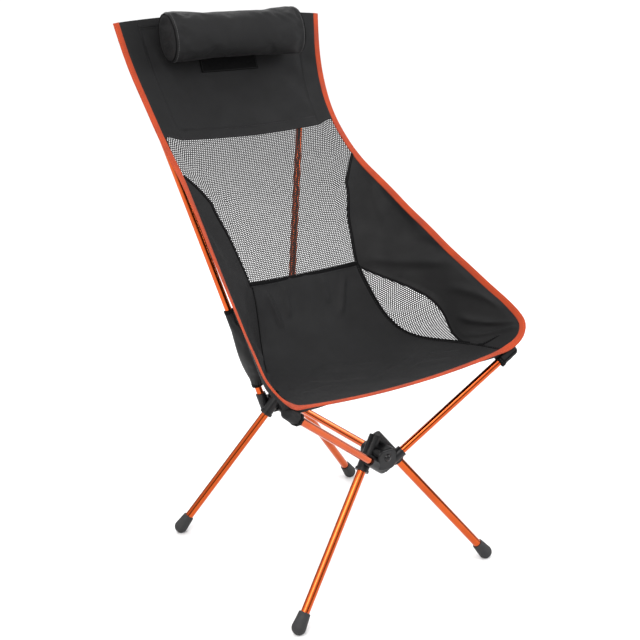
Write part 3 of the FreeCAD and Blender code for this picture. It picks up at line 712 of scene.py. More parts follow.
# where the picture is taken from
cameraSetup = {
    "place": (-1.1553, -1.5797, 1.1356),      # from the middle of the feet
    "tilt": 71.32,
    "turn": -35.4,
    "lens": 63.84,
    "sensor": 36.0,
    "shift": (0.0068, -0.0078),
}


def makeCamera(setup):
    data = bpy.data.cameras.new("Camera")
    data.sensor_width = setup["sensor"]
    data.lens = setup["lens"]
    data.shift_x, data.shift_y = setup["shift"]
    camera = bpy.data.objects.new("Camera", data)
    camera.location = feetMiddle + Vector(setup["place"])
    camera.rotation_euler = (math.radians(setup["tilt"]), 0, math.radians(setup["turn"]))
    bpy.context.scene.collection.objects.link(camera)
    bpy.context.scene.camera = camera


makeCamera(cameraSetup)


# the rigid parts keep their CAD shape and only get a finish
def coat(nodeName, material):
    piece = nodes[nodeName]
    piece.data.materials.clear()
    piece.data.materials.append(material)
    piece.data.polygons.foreach_set("material_index", [0] * len(piece.data.polygons))


def finishRigidParts():
    hubNylon = mouldedNylon("hub nylon", nylonLook)
    capNylon = mouldedNylon("cap nylon", nylonLook, texture=900, wear=0.3)
    blackRivet = mouldedNylon("rivet head", {**nylonLook, "roughness": (0.22, 0.34)}, texture=300, wear=1.0)
    rubber = footRubber("foot rubber")
    cordFinish = braidedCord("elastic cord")
    aluminium = milledAluminium("bare aluminium")
    for name in sorted(nodes):
        if "cord" in name:
            coat(name, cordFinish)
        elif name.endswith("_hub"):
            coat(name, hubNylon)
        elif "_cap_" in name:
            coat(name, capNylon)
        elif "foot" in name:
            coat(name, rubber)
        elif name == "hub_rivets":
            coat(name, blackRivet)
        elif name in ("bar_plugs", "pole_ferrules"):
            coat(name, aluminium)
        elif "_leg_" in name or "_pole_" in name or name == "centre_bar":
            low, high = tubeLine(name)
            coat(name, anodised("anodised " + name.replace("_", " "), tubeLook, high - low))


finishRigidParts()
print("rigid parts finished")


# upper back panel, with doubled cloth round it
upperBack = {
    "thickness": 0.0012,
    "rows": 170, "columns": 271,
    "facing": 0.046,          # doubled cloth down each side
    "hem": 0.026,             # doubled cloth above the mesh
    "topHem": 0.018,
    "fold": 0.0014,           # how far doubled cloth stands up
    "foldEdge": 0.003,        # the step down from doubled to single cloth
    "stitchInset": 0.003,
    "groove": (0.0011, 0.0022),  # where the stitches pull in: depth, width
    "overNet": 0.05,          # stations that its hem laps over the net
    "ripples": ((9, 0.0016, 3.1), (26, 0.0006, 7.7)),
}


def meshTopAt(share):
    # the hem above the net lifts a little just inside each side
    return slingShape["meshTop"] - 0.10 * bump(abs(share), 0.93, 0.09)


def upperSurface(along, across):
    share = across * 2 - 1
    return middlePoint(along * (meshTopAt(share) + upperBack["overNet"]), share)


def upperRelief(left, right, run, share):
    setup = upperBack
    side = min(left, right)
    fromHem = run - upperLength + setup["hem"]
    step = setup["foldEdge"]
    inset = setup["stitchInset"]
    depth, width = setup["groove"]
    doubled = max(smoothStep((setup["facing"] - side) / step), smoothStep(fromHem / step),
                  smoothStep((setup["topHem"] - run) / step))
    groove = bump(side, setup["facing"] - inset, width)
    groove += bump(run, upperLength - setup["hem"] + inset, width) * (side > setup["facing"] - 0.004)
    lift = setup["fold"] * doubled - depth * min(1.0, groove)
    lift += ripples(setup["ripples"], left, run)
    lift += folds(upperFolds, left, run)
    return lift * smoothStep(side / 0.01)


upperFolds = (
    # start across, start along, end across, end along, height, width
    (0.07, 0.245, 0.10, 0.14, 0.0018, 0.010),
    (0.11, 0.250, 0.17, 0.17, 0.0014, 0.012),
    (0.36, 0.235, 0.31, 0.13, 0.0018, 0.011),
    (0.31, 0.240, 0.26, 0.16, 0.0012, 0.010),
    (0.05, 0.02, 0.09, 0.16, 0.0014, 0.012),
    (0.39, 0.02, 0.35, 0.15, 0.0016, 0.012),
)
upperLength = flatSize(upperSurface)[1]


def makeUpperBack():
    setup = upperBack
    piece = clothPanel("upperBackPanel", upperSurface, setup["rows"], setup["columns"], setup["thickness"],
                       slingCloth, upperRelief)
    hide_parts("upper_back_panel")
    attach(piece)
    lift = setup["thickness"] / 2 + setup["fold"] - 0.0001
    width = flatSize(upperSurface)[0]
    side = (setup["facing"] - setup["stitchInset"]) / width
    low = 1 - (setup["hem"] - setup["stitchInset"]) / upperLength
    top = (setup["topHem"] - setup["stitchInset"]) / upperLength
    seams = {
        "upperPanelStitches": ([(a, side) for a in spread(0.03, low, 60)]
                               + [(low, c) for c in spread(side, 1 - side, 90)]
                               + [(a, 1 - side) for a in spread(low, 0.03, 60)]),
        "topHemStitches": [(top, c) for c in spread(0.03, 0.97, 100)],
        "meshTopStitches": [(0.985, c) for c in spread(0.02, 0.98, 100)],
    }
    rows = [attach(stitchRow(name, *tracePath(upperSurface, places, lift), sewingThread))
            for name, places in seams.items()]
    declareSheet(piece, upperSurface)


makeUpperBack()
print("upper back sewn")


# open nets: hexagonal holes in rows
netCloth = {
    "pitch": 0.0041,          # from one hole to the next
    "hole": 0.50,             # width of a hole, as a share of the pitch
    "crown": 0.0003,          # the threads are round, so their middles stand up
}


def lineUp(surface, rows, columns, fromMiddle):
    # lengths along and across a panel, to place evenly spaced holes on it
    runs = [0.0]
    reaches = []
    for r in range(rows + 1):
        row = [surface(r / rows, c / columns) for c in range(columns + 1)]
        start = columns // 2 if fromMiddle else 0
        reaches.append(sum((row[c + 1] - row[c]).length for c in range(start, columns)))
        if r:
            runs.append(runs[-1] + (row[start] - surface((r - 1) / rows, start / columns)).length)
    return runs, reaches


def netPanel(name, surface, fromMiddle, side=1, margin=0.0):
    rows = 60
    runs, reaches = lineUp(surface, rows, 20, fromMiddle)
    pitch = netCloth["pitch"]
    cell = pitch / math.sqrt(3)

    def place(reach, run):
        r = 0
        while r < rows - 1 and runs[r + 1] < run:
            r += 1
        share = (run - runs[r]) / (runs[r + 1] - runs[r])
        half = max(reaches[r] + (reaches[r + 1] - reaches[r]) * share, 1e-4)
        across = 0.5 + 0.5 * reach / half if fromMiddle else reach / half
        return (r + share) / rows, across

    points = []
    faces = []
    shared = {}
    widest = max(reaches)
    rowCount = int(runs[-1] / (cell * 1.5)) + 1
    columnCount = int(widest / pitch) + 1
    firstColumn = -columnCount if fromMiddle else 0
    for i in range(rowCount + 1):
        for j in range(firstColumn, columnCount + 1):
            centreX = pitch * (j + 0.5 * (i % 2))
            centreY = cell * 1.5 * i
            along, across = place(centreX, centreY)
            if not (margin <= along <= 1 - margin and 0.004 <= across <= 0.996):
                continue
            ring = []
            inner = []
            for k in range(6):
                angle = math.radians(30 + 60 * k)
                x, y = centreX + cell * math.cos(angle), centreY + cell * math.sin(angle)
                key = (round(x * 20000), round(y * 20000))
                if key not in shared:
                    shared[key] = len(points)
                    a, c = place(x, y)
                    a, c = clamp(a), clamp(c)
                    points.append(mirrored(surface(a, c), side)
                                  + mirrored(surfaceNormal(surface, a, c), side) * netCloth["crown"])
                ring.append(shared[key])
                hole = netCloth["hole"]
                x = centreX + cell * hole * math.cos(angle)
                y = centreY + cell * hole * math.sin(angle)
                a, c = place(x, y)
                inner.append(len(points))
                points.append(mirrored(surface(clamp(a), clamp(c)), side))
            for k in range(6):
                m = (k + 1) % 6
                corners = (ring[k], ring[m], inner[m], inner[k])
                faces.append(corners if side > 0 else corners[::-1])
    return makePiece(name, points, faces, netThread)


def backMeshSurface(along, across):
    share = across * 2 - 1
    first = meshTopAt(share)
    station = first + (slingShape["meshBottom"] - first) * along
    # the net dimples a little beside the side seams
    point = middlePoint(station, share)
    point.z -= 0.004 * bump(abs(share), 0.80, 0.12) * bump(along, 0.55, 0.3)
    return point


def makeBackMesh():
    piece = netPanel("backMeshPanel", backMeshSurface, True)
    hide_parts("back_mesh_panel")
    attach(piece)
    declareSheet(piece, backMeshSurface)


makeBackMesh()


# seat panel, sewn to the net behind it
seatPanel = {
    "thickness": 0.0012,
    "rows": 130, "columns": 121,
    "lap": 0.04,              # stations that it laps over the net
    "tapeAt": 0.0085,         # shares of its length
    "stitchesAt": 0.024,
    "tape": (0.0065, 0.0016),
    "tapeLift": 0.0012,
    "foldStrength": 1.6,
    "ripples": ((8, 0.0030, 1.4), (22, 0.0012, 5.2)),
}

seatFolds = (
    # start across, start along, end across, end along, height, width
    (0.03, 0.015, 0.055, 0.10, 0.0028, 0.006),
    (0.07, 0.010, 0.075, 0.08, 0.0020, 0.007),
    (0.21, 0.015, 0.185, 0.10, 0.0028, 0.006),
    (0.16, 0.010, 0.165, 0.07, 0.0018, 0.007),
    (0.10, 0.20, 0.24, 0.23, 0.0022, 0.010),
    (0.06, 0.245, 0.20, 0.27, 0.0018, 0.009),
    (0.20, 0.275, 0.34, 0.255, 0.0020, 0.010),
    (0.34, 0.27, 0.40, 0.315, 0.0024, 0.006),
    (0.30, 0.28, 0.37, 0.32, 0.0022, 0.007),
    (0.05, 0.30, 0.12, 0.27, 0.0022, 0.007),
    (0.12, 0.10, 0.15, 0.19, 0.0012, 0.014),
)


def seatSurface(along, across):
    first, last = slingShape["meshBottom"], slingShape["front"]
    lap = seatPanel["lap"]
    return middlePoint(first - lap + (last - first + lap) * along, across * 2 - 1)


def seatRelief(left, right, run, share):
    side = min(left, right)
    lift = ripples(seatPanel["ripples"], left, run)
    lift += seatPanel["foldStrength"] * folds(seatFolds, left, run)
    return lift * smoothStep(side / 0.02) * smoothStep((1 - share) / 0.05)


def makeSeat():
    setup = seatPanel
    piece = clothPanel("seatPanel", seatSurface, setup["rows"], setup["columns"], setup["thickness"],
                       slingCloth, seatRelief)
    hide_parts("seat_panel")
    attach(piece)
    lift = setup["tapeLift"]
    path, normals = tracePath(seatSurface, [(setup["tapeAt"], c) for c in spread(0.0, 1.0, 60)], lift)
    tape = sweep("meshBottomTape", path, normals, roundedBand(*setup["tape"]), seamCloth)
    attach(tape)
    path, normals = tracePath(seatSurface, [(setup["stitchesAt"], c) for c in spread(0.01, 0.99, 60)], lift)
    stitches = attach(stitchRow("meshBottomStitches", path, normals, sewingThread))
    declareSheet(piece, seatSurface)


makeSeat()
print("seat sewn")


# side wings and their leaf-shaped net windows
sideWing = {
    "thickness": 0.0012,
    "rows": 150, "columns": 61,
    "cover": {1: 0.0, -1: 0.85},  # share of the leaf net that slack cloth hangs over
    "coverLift": 0.0035,
    "coverWay": (-0.90, -0.10, 0.42),
    "coverEdge": 0.12,        # shares of the wing over which the slack cloth comes down to it
    "trims": {                # width and thickness of each tape and seam
        "wingSeam": (0.006, 0.0016), "seatCornerSeam": (0.0045, 0.0020),
        "leafLowerTape": (0.0095, 0.0022), "leafUpperTape": (0.0045, 0.0014),
        "cornerPatchSeam": (0.0035, 0.0014), "barTack": (0.007, 0.0026),
    },
    "trimLift": 0.0008,
    # the seam across the corner and the bar-tack on it: stations, then shares of the wing
    "patchSeam": ((13.27, 13.22), (0.02, 0.93)),
    "barTack": ((13.22, 13.33), (0.0, 0.06)),
    "foldStrength": 1.5,
    "ripples": ((7, 0.0080, 9.3), (24, 0.0016, 2.2)),
}

wingFolds = (
    # start across, start along, end across, end along, height, width
    (0.02, 0.20, 0.10, 0.33, 0.0035, 0.018),
    (0.04, 0.36, 0.13, 0.46, 0.0030, 0.010),
    (0.02, 0.42, 0.10, 0.49, 0.0026, 0.007),
    (0.01, 0.46, 0.09, 0.515, 0.0020, 0.006),
    (0.10, 0.10, 0.13, 0.36, -0.0030, 0.022),
    (0.05, 0.05, 0.08, 0.22, 0.0018, 0.012),
)


def wingSpan(along):
    first = slingShape["wingTop"]
    return first + (slingShape["front"] - first) * along


def slackWing(side):
    cover = sideWing["cover"][side]
    way = Vector(sideWing["coverWay"])
    edge = sideWing["coverEdge"]

    def surface(along, across):
        station = wingSpan(along)
        leaf = leafWidth(station)
        low = leaf * (1 - cover)
        share = low + (cornerShare(station) - low) * across
        over = smoothStep((leaf + edge - share) / edge) * smoothStep(leaf / 0.05) if cover else 0.0
        return wingPoint(station, share) + way * sideWing["coverLift"] * over

    return surface


def leafSurface(along, across):
    first, last = slingShape["leaf"]
    station = first + 0.02 + (last - first - 0.04) * along
    return wingPoint(station, leafWidth(station) * across)


def wingRelief(left, right, run, share):
    lift = ripples(sideWing["ripples"], left, run)
    lift += sideWing["foldStrength"] * folds(wingFolds, left, run)
    return lift * smoothStep(left / 0.015) * smoothStep(right / 0.02) * smoothStep((1 - share) / 0.03)


def makeWing(side):
    setup = sideWing
    name = sideNames[side]
    title = name.title()
    surface = slackWing(side)
    wing = clothPanel("wing" + title, surface, setup["rows"], setup["columns"], setup["thickness"],
                      slingCloth, wingRelief, side)
    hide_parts("side_wing_" + name)
    attach(wing)
    leaf = netPanel("leafNet" + title, leafSurface, False, side)
    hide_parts("side_mesh_" + name)
    attach(leaf)

    def trim(trimName, places, lift=setup["trimLift"], stitched=True):
        width, thickness = setup["trims"][trimName]
        path = [mirrored(wingPoint(*place), side) for place in places]
        normals = []
        for station, share in places:
            down = wingPoint(min(station + 0.03, 14), share) - wingPoint(station - 0.03, share)
            right = wingPoint(station, share + 0.02) - wingPoint(station, share - 0.02)
            normals.append(mirrored(down.cross(right).normalized(), side))
        path = [point + normal * lift for point, normal in zip(path, normals)]
        tape = sweep(trimName + title, path, normals, roundedBand(width, thickness), seamCloth)
        attach(tape)
        if stitched:
            raised = [point + normal * (thickness / 2) for point, normal in zip(path, normals)]
            stitches = stitchRow(trimName + "Stitches" + title, raised, normals, sewingThread)
            attach(stitches)

    def alongSeam(start, end, count):
        return [(station, 0.0) for station in spread(start, end, count)]

    def acrossWing(ends, count):
        stations, shares = ends
        return list(zip(spread(*stations, count), spread(*shares, count)))

    first, last = slingShape["leaf"]
    shown = 1 - setup["cover"][side]
    trim("wingSeam", alongSeam(slingShape["wingTop"] + 0.1, first, 60))
    trim("leafLowerTape", alongSeam(first, last + 0.1, 70))
    leafTop = [(station, leafWidth(station) * shown) for station in spread(first + 0.02, last - 0.02, 70)]
    trim("leafUpperTape", leafTop, lift=setup["trimLift"] + (setup["coverLift"] if shown < 1 else 0))
    trim("seatCornerSeam", alongSeam(last + 0.05, slingShape["front"] - 0.03, 30))
    trim("cornerPatchSeam", acrossWing(setup["patchSeam"], 24))
    trim("barTack", acrossWing(setup["barTack"], 6), stitched=False)
    declareSheet(wing, surface)
    declareSheet(leaf, leafSurface)


for side in sideNames:
    makeWing(side)
print("wings sewn")


# orange edge tape: one length, from a top corner round the front to the other
edgeTape = {
    "width": 0.0122,
    "thickness": 0.0034,
    "points": 420,            # along each half
    "frontFrom": 0.8,         # places before this run down the side, the rest along the front
    "stitchInset": 0.0028,
}


def edgePoint(place):
    # 0 to 1 runs down the left side and round its corner to the middle of the front
    turn = slingShape["front"]
    corner = edgeTape["frontFrom"]
    if place < corner:
        station = turn * place / corner
        if station > slingShape["wingTop"]:
            return wingPoint(station, cornerShare(station))
        return edgeAt(station)
    across = (place - corner) / (1 - corner)
    wing = cornerShare(turn)
    wide = (wingPoint(turn, wing) - wingPoint(turn, 0)).length
    whole = wide + seamAt(turn).x
    if across * whole < wide:
        return wingPoint(turn, wing * (1 - across * whole / wide))
    return middlePoint(turn, 1 - (across * whole - wide) / (whole - wide))


def edgeNormal(place):
    # up out of the cloth beside the edge
    step = 0.01
    corner = edgeTape["frontFrom"]
    along = edgePoint(min(place + step, 1)) - edgePoint(max(place - step, 0))
    station = min(slingShape["front"] * place / corner, slingShape["front"])
    if place < corner:
        inside = wingPoint(station, 0.5) if station > slingShape["wingTop"] else middlePoint(station, 0.7)
    else:
        across = (place - corner) / (1 - corner)
        inside = middlePoint(slingShape["front"] - 0.8, 0.6 * (1 - across))
    inward = inside - edgePoint(place)
    return inward.cross(along).normalized() * -1


def makeEdgeTape():
    setup = edgeTape
    half = spread(0.0, 1.0, setup["points"])
    left = [edgePoint(place) for place in half]
    leftNormals = [edgeNormal(place) for place in half]
    path = left + [mirrored(point, -1) for point in reversed(left[:-1])]
    normals = leftNormals + [mirrored(point, -1) for point in reversed(leftNormals[:-1])]
    inside = range(1, len(path) - 1)
    for _ in range(6):
        evened = [(path[i - 1] + path[i] * 2 + path[i + 1]) / 4 for i in inside]
        path = [path[0]] + evened + [path[-1]]
    for _ in range(30):
        evened = [(normals[i - 1] + normals[i] * 2 + normals[i + 1]).normalized() for i in inside]
        normals = [normals[0]] + evened + [normals[-1]]
    band = roundedBand(setup["width"], setup["thickness"], 4)
    tape = sweep("edgeTape", path, normals, band, orangeTape)
    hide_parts("side_binding_left", "side_binding_right", "front_binding")
    attach(tape)
    for face, lift in (("Inner", 1), ("Outer", -1)):
        stitched = []
        for i in inside:
            along = (path[i + 1] - path[i - 1]).normalized()
            sideways = along.cross(normals[i]).normalized()
            stitched.append(path[i] + sideways * (setup["width"] / 2 - setup["stitchInset"])
                            + normals[i] * lift * (setup["thickness"] / 2))
        faceNormals = [normal * lift for normal in normals[1:-1]]
        row = stitchRow("edgeStitches" + face, stitched, faceNormals, orangeThread)
        attach(row)


makeEdgeTape()
print("edge tape sewn")


# headrest bolster, stuffed between its two end seams
bolster = {
    "length": 0.292, "height": 0.098, "depth": 0.072,
    "tilt": 19,               # degrees it leans back
    "endRound": 0.007,
    "seamInset": 0.0035,      # end seams, from each end
    "piping": (0.0030, 0.0024),
    "stitchGap": 0.0042,      # from the end seam to its stitches
    "startSmaller": 0.0015,   # the stuffing fills it out by about this much
    "grain": 0.005,
    "pressure": 4.0,
    "slack": 0.015,
    "farthest": 0.005,
    "backFlat": 0.0008,       # pressed in where it lies on the patch
    "lumps": ((0.0007, 22), (0.0003, 75)),  # height, scale
    "frames": 20,
    "creases": (              # across the front: start, end, depth, width
        (0.070, 0.036, 0.112, 0.006, 0.0014, 0.0045), (0.046, 0.038, 0.080, 0.018, 0.0010, 0.0045),
        (0.096, 0.038, 0.132, 0.012, 0.0014, 0.0040), (-0.136, 0.020, -0.112, 0.004, 0.0008, 0.0045),
        (-0.130, -0.026, -0.090, -0.036, 0.0008, 0.0050), (0.134, -0.020, 0.100, -0.036, 0.0010, 0.0050),
        (0.020, 0.040, 0.052, 0.026, 0.0007, 0.0050),
    ),
}
bolsterLow, bolsterHigh = (Vector(corner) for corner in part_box("headrest_pillow"))
bolsterMiddle = (bolsterLow + bolsterHigh) / 2
bolsterLean = math.radians(bolster["tilt"])
bolsterBack = Vector((0, math.cos(bolsterLean), -math.sin(bolsterLean)))
bolsterUp = Vector((0, math.sin(bolsterLean), math.cos(bolsterLean)))


def bolsterPoint(x, angle, shrink):
    tall = bolster["height"] / 2 - shrink
    deep = bolster["depth"] / 2 - shrink
    return (bolsterMiddle + Vector((x, 0, 0)) + bolsterUp * (tall * math.cos(angle))
            + bolsterBack * (deep * math.sin(angle)))


def bolsterRing(x, shrink, count):
    return [bolsterPoint(x, math.tau * i / count, shrink) for i in range(count)]


def bolsterBody(smaller):
    # rings from one flat end, round its edge and along to the other
    half = bolster["length"] / 2 - smaller
    edge = bolster["endRound"]
    ends = [(half, edge + 0.020), (half, edge + 0.008)]
    ends += [(half - edge * (1 - math.cos(turn)), edge * (1 - math.sin(turn)))
             for turn in spread(0.0, math.pi / 2, 7)]
    outline = [(-x, shrink) for x, shrink in ends]
    outline += [(x, 0.0) for x in spread(-half + edge, half - edge, 40)[1:-1]]
    outline += ends[::-1]
    count = 56
    points = []
    for x, shrink in outline:
        points += bolsterRing(x, shrink + smaller, count)
    faces = [tuple(range(count)), tuple((len(outline) - 1) * count + i for i in range(count))[::-1]]
    for r in range(len(outline) - 1):
        for i in range(count):
            k = (i + 1) % count
            faces.append((r * count + i, (r + 1) * count + i, (r + 1) * count + k, r * count + k))
    return makePiece("headrestBolster", points, faces, pillowCloth)


def fillOut(piece, setup, held):
    # the stuffing pushes the cover out between its seams
    group = piece.vertex_groups.new(name="seams")
    group.add(held, 1.0, "REPLACE")
    cloth = piece.modifiers.new("Cloth", "CLOTH")
    cloth.settings.quality = 6
    cloth.settings.mass = 0.2
    cloth.settings.use_pressure = True
    cloth.settings.uniform_pressure_force = setup["pressure"]
    cloth.settings.vertex_group_mass = "seams"
    cloth.settings.tension_stiffness = 25
    cloth.settings.compression_stiffness = 25
    cloth.settings.shear_stiffness = 8
    cloth.settings.bending_stiffness = 0.4
    cloth.settings.shrink_min = -setup["slack"]
    cloth.settings.effector_weights.gravity = 0
    cloth.point_cache.frame_start = 1
    cloth.point_cache.frame_end = setup["frames"]
    for number in range(1, setup["frames"] + 1):
        bpy.context.scene.frame_set(number)
    applyModifiers(piece)
    bpy.context.scene.frame_set(1)


def creaseDepth(across, up):
    depth = 0.0
    for x1, z1, x2, z2, height, width in bolster["creases"]:
        dx, dz = x2 - x1, z2 - z1
        length = math.hypot(dx, dz)
        along = ((across - x1) * dx + (up - z1) * dz) / length
        away = ((across - x1) * dz - (up - z1) * dx) / length
        ends = smoothStep(along / (0.4 * length)) * smoothStep((length - along) / (0.4 * length))
        # a ridge with a hollow beside it
        depth += height * ends * (bump(away, 0, width) - 0.6 * bump(away, 1.6 * width, width))
    return depth


def makeBolster():
    setup = bolster
    piece = bolsterBody(setup["startSmaller"])
    addModifier(piece, "REMESH", mode="VOXEL", voxel_size=setup["grain"])
    addModifier(piece, "SMOOTH", factor=0.5, iterations=2)
    applyModifiers(piece)
    vertices = piece.data.vertices
    start = [vertex.co.copy() for vertex in vertices]
    seamX = setup["length"] / 2 - setup["seamInset"] - setup["startSmaller"]
    reach = setup["height"] / 2 - setup["endRound"]

    def fromAxis(point):
        away = point - bolsterMiddle
        return math.hypot(away.dot(bolsterUp), away.dot(bolsterBack) * setup["height"] / setup["depth"])

    held = [vertex.index for vertex in vertices
            if abs(abs(vertex.co.x - bolsterMiddle.x) - seamX) < setup["grain"] * 0.55
            and fromAxis(vertex.co) > reach]
    fillOut(piece, setup, held)
    vertices = piece.data.vertices
    normals = [vertex.normal.copy() for vertex in vertices]
    for vertex, place, normal in zip(vertices, start, normals):
        move = vertex.co - place
        if move.length > setup["farthest"]:
            move *= setup["farthest"] / move.length
        away = place - bolsterMiddle
        front = smoothStep(-away.dot(bolsterBack) / 0.02)
        crease = creaseDepth(away.x, away.dot(bolsterUp)) * front
        lumps = sum(height * noise.noise(place * scale) for height, scale in setup["lumps"])
        behind = smoothStep(away.dot(bolsterBack) / 0.02)
        vertex.co = place + move + normal * (crease + lumps) - bolsterBack * (setup["backFlat"] * behind)
    for polygon in piece.data.polygons:
        polygon.use_smooth = True
    addModifier(piece, "SUBSURF", levels=1, render_levels=1)
    applyModifiers(piece)
    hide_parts("headrest_pillow")
    attach(piece, "headrest")
    return piece


def outerRing(piece, x, count, lift):
    # where a ray from the axis meets the cover, so that seams lie on it
    points = []
    normals = []
    for i in range(count):
        angle = math.tau * i / count
        out = (bolsterUp * math.cos(angle) * bolster["height"]
               + bolsterBack * math.sin(angle) * bolster["depth"]).normalized()
        start = bolsterMiddle + Vector((x, 0, 0))
        hit, place = piece.ray_cast(start + out * 0.2, -out)[:2]
        points.append((place if hit else start + out * bolster["height"] / 2) + out * lift)
        normals.append(out)
    return points, normals


def makeBolsterSeams(piece):
    bpy.context.view_layer.update()
    for side in sideNames:
        seamX = side * (bolster["length"] / 2 - bolster["seamInset"])
        path, normals = outerRing(piece, seamX, 90, 0.0004)
        piping = sweep("bolsterPiping%d" % (side + 1), path, normals, roundedBand(*bolster["piping"]),
                       seamCloth, closed=True)
        attach(piping, "headrest")
        path, normals = outerRing(piece, seamX - side * bolster["stitchGap"], 120, 0.0002)
        stitches = stitchRow("bolsterStitches%d" % (side + 1), path, normals, paleThread)
        attach(stitches, "headrest")


makeBolsterSeams(makeBolster())
print("headrest bolster stuffed and sewn")


# hook-and-loop patch behind the bolster
patch = {
    "width": 0.126, "stations": (0.35, 1.22),
    "thickness": 0.0010,
    "lift": 0.0016,           # its middle above the sling's
    "stitchInset": 0.0025,
    "stitchLift": 0.0001,
}


def patchSurface(along, across):
    first, last = patch["stations"]
    station = first + (last - first) * along
    return middlePoint(station, (across - 0.5) * patch["width"] / seamAt(station).x)


def makePatch():
    beside = flatSize(upperSurface)[0] / 2 - patch["width"] / 2
    above = upperLength * patch["stations"][0] / slingShape["meshTop"]

    def overPanel(left, right, run, share):
        return upperRelief(left + beside, right + beside, run + above, share) + patch["lift"]

    piece = clothPanel("headrestPatch", patchSurface, 40, 60, patch["thickness"], hookPaintedShadowFinish, overPanel)
    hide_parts("headrest_patch")
    attach(piece)
    tall = flatSize(patchSurface)[1]
    side = patch["stitchInset"] / patch["width"]
    end = patch["stitchInset"] / tall
    places = [(a, side) for a in spread(end, 1 - end, 20)]
    places += [(1 - end, c) for c in spread(side, 1 - side, 30)[1:]]
    places += [(a, 1 - side) for a in spread(1 - end, end, 20)[1:]]
    places += [(end, c) for c in spread(1 - side, side, 30)[1:]]
    path = []
    normals = []
    for along, across in places:
        left, run = across * patch["width"], along * tall
        normal = surfaceNormal(patchSurface, along, across)
        height = overPanel(left, patch["width"] - left, run, along) + patch["thickness"] / 2
        path.append(patchSurface(along, across) + normal * (height + patch["stitchLift"]))
        normals.append(normal)
    stitches = attach(stitchRow("patchStitches", path, normals, sewingThread))
    declareSheet(piece, patchSurface)


makePatch()
print("headrest patch sewn")


# small bag round the sitter's right back pole
pouch = {
    "node": "back_pole_lower_right",
    "poleStart": 0.10615,     # the pole begins this far from the apex
    "start": 0.153, "end": 0.317,
    "halfWidth": 0.034, "halfDepth": 0.0150,
    "overlap": 0.0145,
    "poleRadius": 0.0072,
    "cloth": 0.0022,
    "thickness": 0.0012,
    "hem": (0.0075, 0.0012),
    "seam": (0.0045, 0.0016),
    # share of its length, how full it is there
    "fullness": ((0.0, 0.34), (0.20, 0.84), (0.42, 1.0), (0.72, 0.64), (1.0, 0.24)),
    "wideFold": 0.0018, "narrowFold": 0.0012,
    "slack": 0.0008,
    "pleat": 0.0005, "pleats": 11,  # gathered in at both ends
    "rings": 60, "around": 72,
}


def pouchFullness(share):
    line = smoothLine([Vector((place, full, 0)) for place, full in pouch["fullness"]])
    low, high = 0.0, len(pouch["fullness"]) - 1.0
    for _ in range(24):
        middle = (low + high) / 2
        low, high = (middle, high) if line(middle).x < share else (low, middle)
    return line(low).y


def makePouch():
    poleLow, poleHigh = tubeLine(pouch["node"])
    direction = (poleHigh - poleLow).normalized()
    apex = poleLow - direction * pouch["poleStart"]
    forward = (Vector((0, -1, 0)) - direction * direction.dot(Vector((0, -1, 0)))).normalized()
    sideways = direction.cross(forward).normalized()
    count = pouch["around"]
    points = []
    places = []
    for r, share in enumerate(spread(0.0, 1.0, pouch["rings"])):
        full = pouchFullness(share)
        wide = max(pouch["halfWidth"] * full, pouch["poleRadius"] + pouch["cloth"])
        deep = max(pouch["halfDepth"] * full, pouch["poleRadius"] + pouch["cloth"])
        along = pouch["start"] + (pouch["end"] - pouch["start"]) * share
        gather = smoothStep((0.12 - min(share, 1 - share)) / 0.10)
        centre = apex + direction * along
        centre += forward * max(0.0, wide - pouch["poleRadius"] - pouch["overlap"] * full)
        for i in range(count):
            angle = math.tau * i / count
            # the side away from the pole is slack and sags in soft folds
            loose = smoothStep((math.cos(angle) + 0.4) / 1.2) * smoothStep(min(share, 1 - share) / 0.15)
            spot = Vector((math.cos(angle) * 1.6, math.sin(angle) * 1.6, share * 7))
            fold = pouch["wideFold"] * noise.noise(spot)
            fold += pouch["narrowFold"] * noise.noise(Vector((angle * 1.2, share * 16, 4.0)))
            pleat = pouch["pleat"] * math.cos(angle * pouch["pleats"]) * gather
            scale = 1 + (fold * loose - pouch["slack"] * loose + pleat) / deep
            points.append(centre + forward * (wide * scale * math.cos(angle))
                          + sideways * (deep * scale * math.sin(angle)))
            places.append((angle * 0.02, along))
    body = makePiece("sidePouch", points, tubeFaces(pouch["rings"], count), pocketCloth, places)
    addModifier(body, "SOLIDIFY", thickness=pouch["thickness"], offset=-1.0)
    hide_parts("side_pouch")
    attach(body)
    for label, ring in (("Lower", 1), ("Upper", pouch["rings"] - 2)):
        path = points[ring * count:(ring + 1) * count]
        band = roundedBand(*pouch["hem"])
        hem = sweep("pouchHem" + label, path, hemNormals(path), band, seamCloth, closed=True)
        attach(hem)
    seam = [points[r * count] for r in range(2, pouch["rings"] - 2)]
    tape = sweep("pouchSeam", seam, [sideways] * len(seam), roundedBand(*pouch["seam"]), seamCloth)
    attach(tape)


makePouch()
print("side pouch sewn")


# pockets at the sling's corners, over the pole tips
cornerPocket = {
    "length": 0.038,
    "radius": 0.0105,
    "endGap": 0.0026,         # cloth past the cap's end
    "mouth": 0.0008,          # how much wider it is at its mouth
    "toe": 0.009,             # its end is rounded over this length
    "toeWidth": 0.25,         # and closes to this share of the radius
    "pucker": 0.00045, "puckers": 9,
    "lump": 0.0006,
    "thickness": 0.0012,
    "hem": (0.008, 0.0014),
    "seam": (0.003, 0.0016),
    "rings": 40, "around": 56,
}


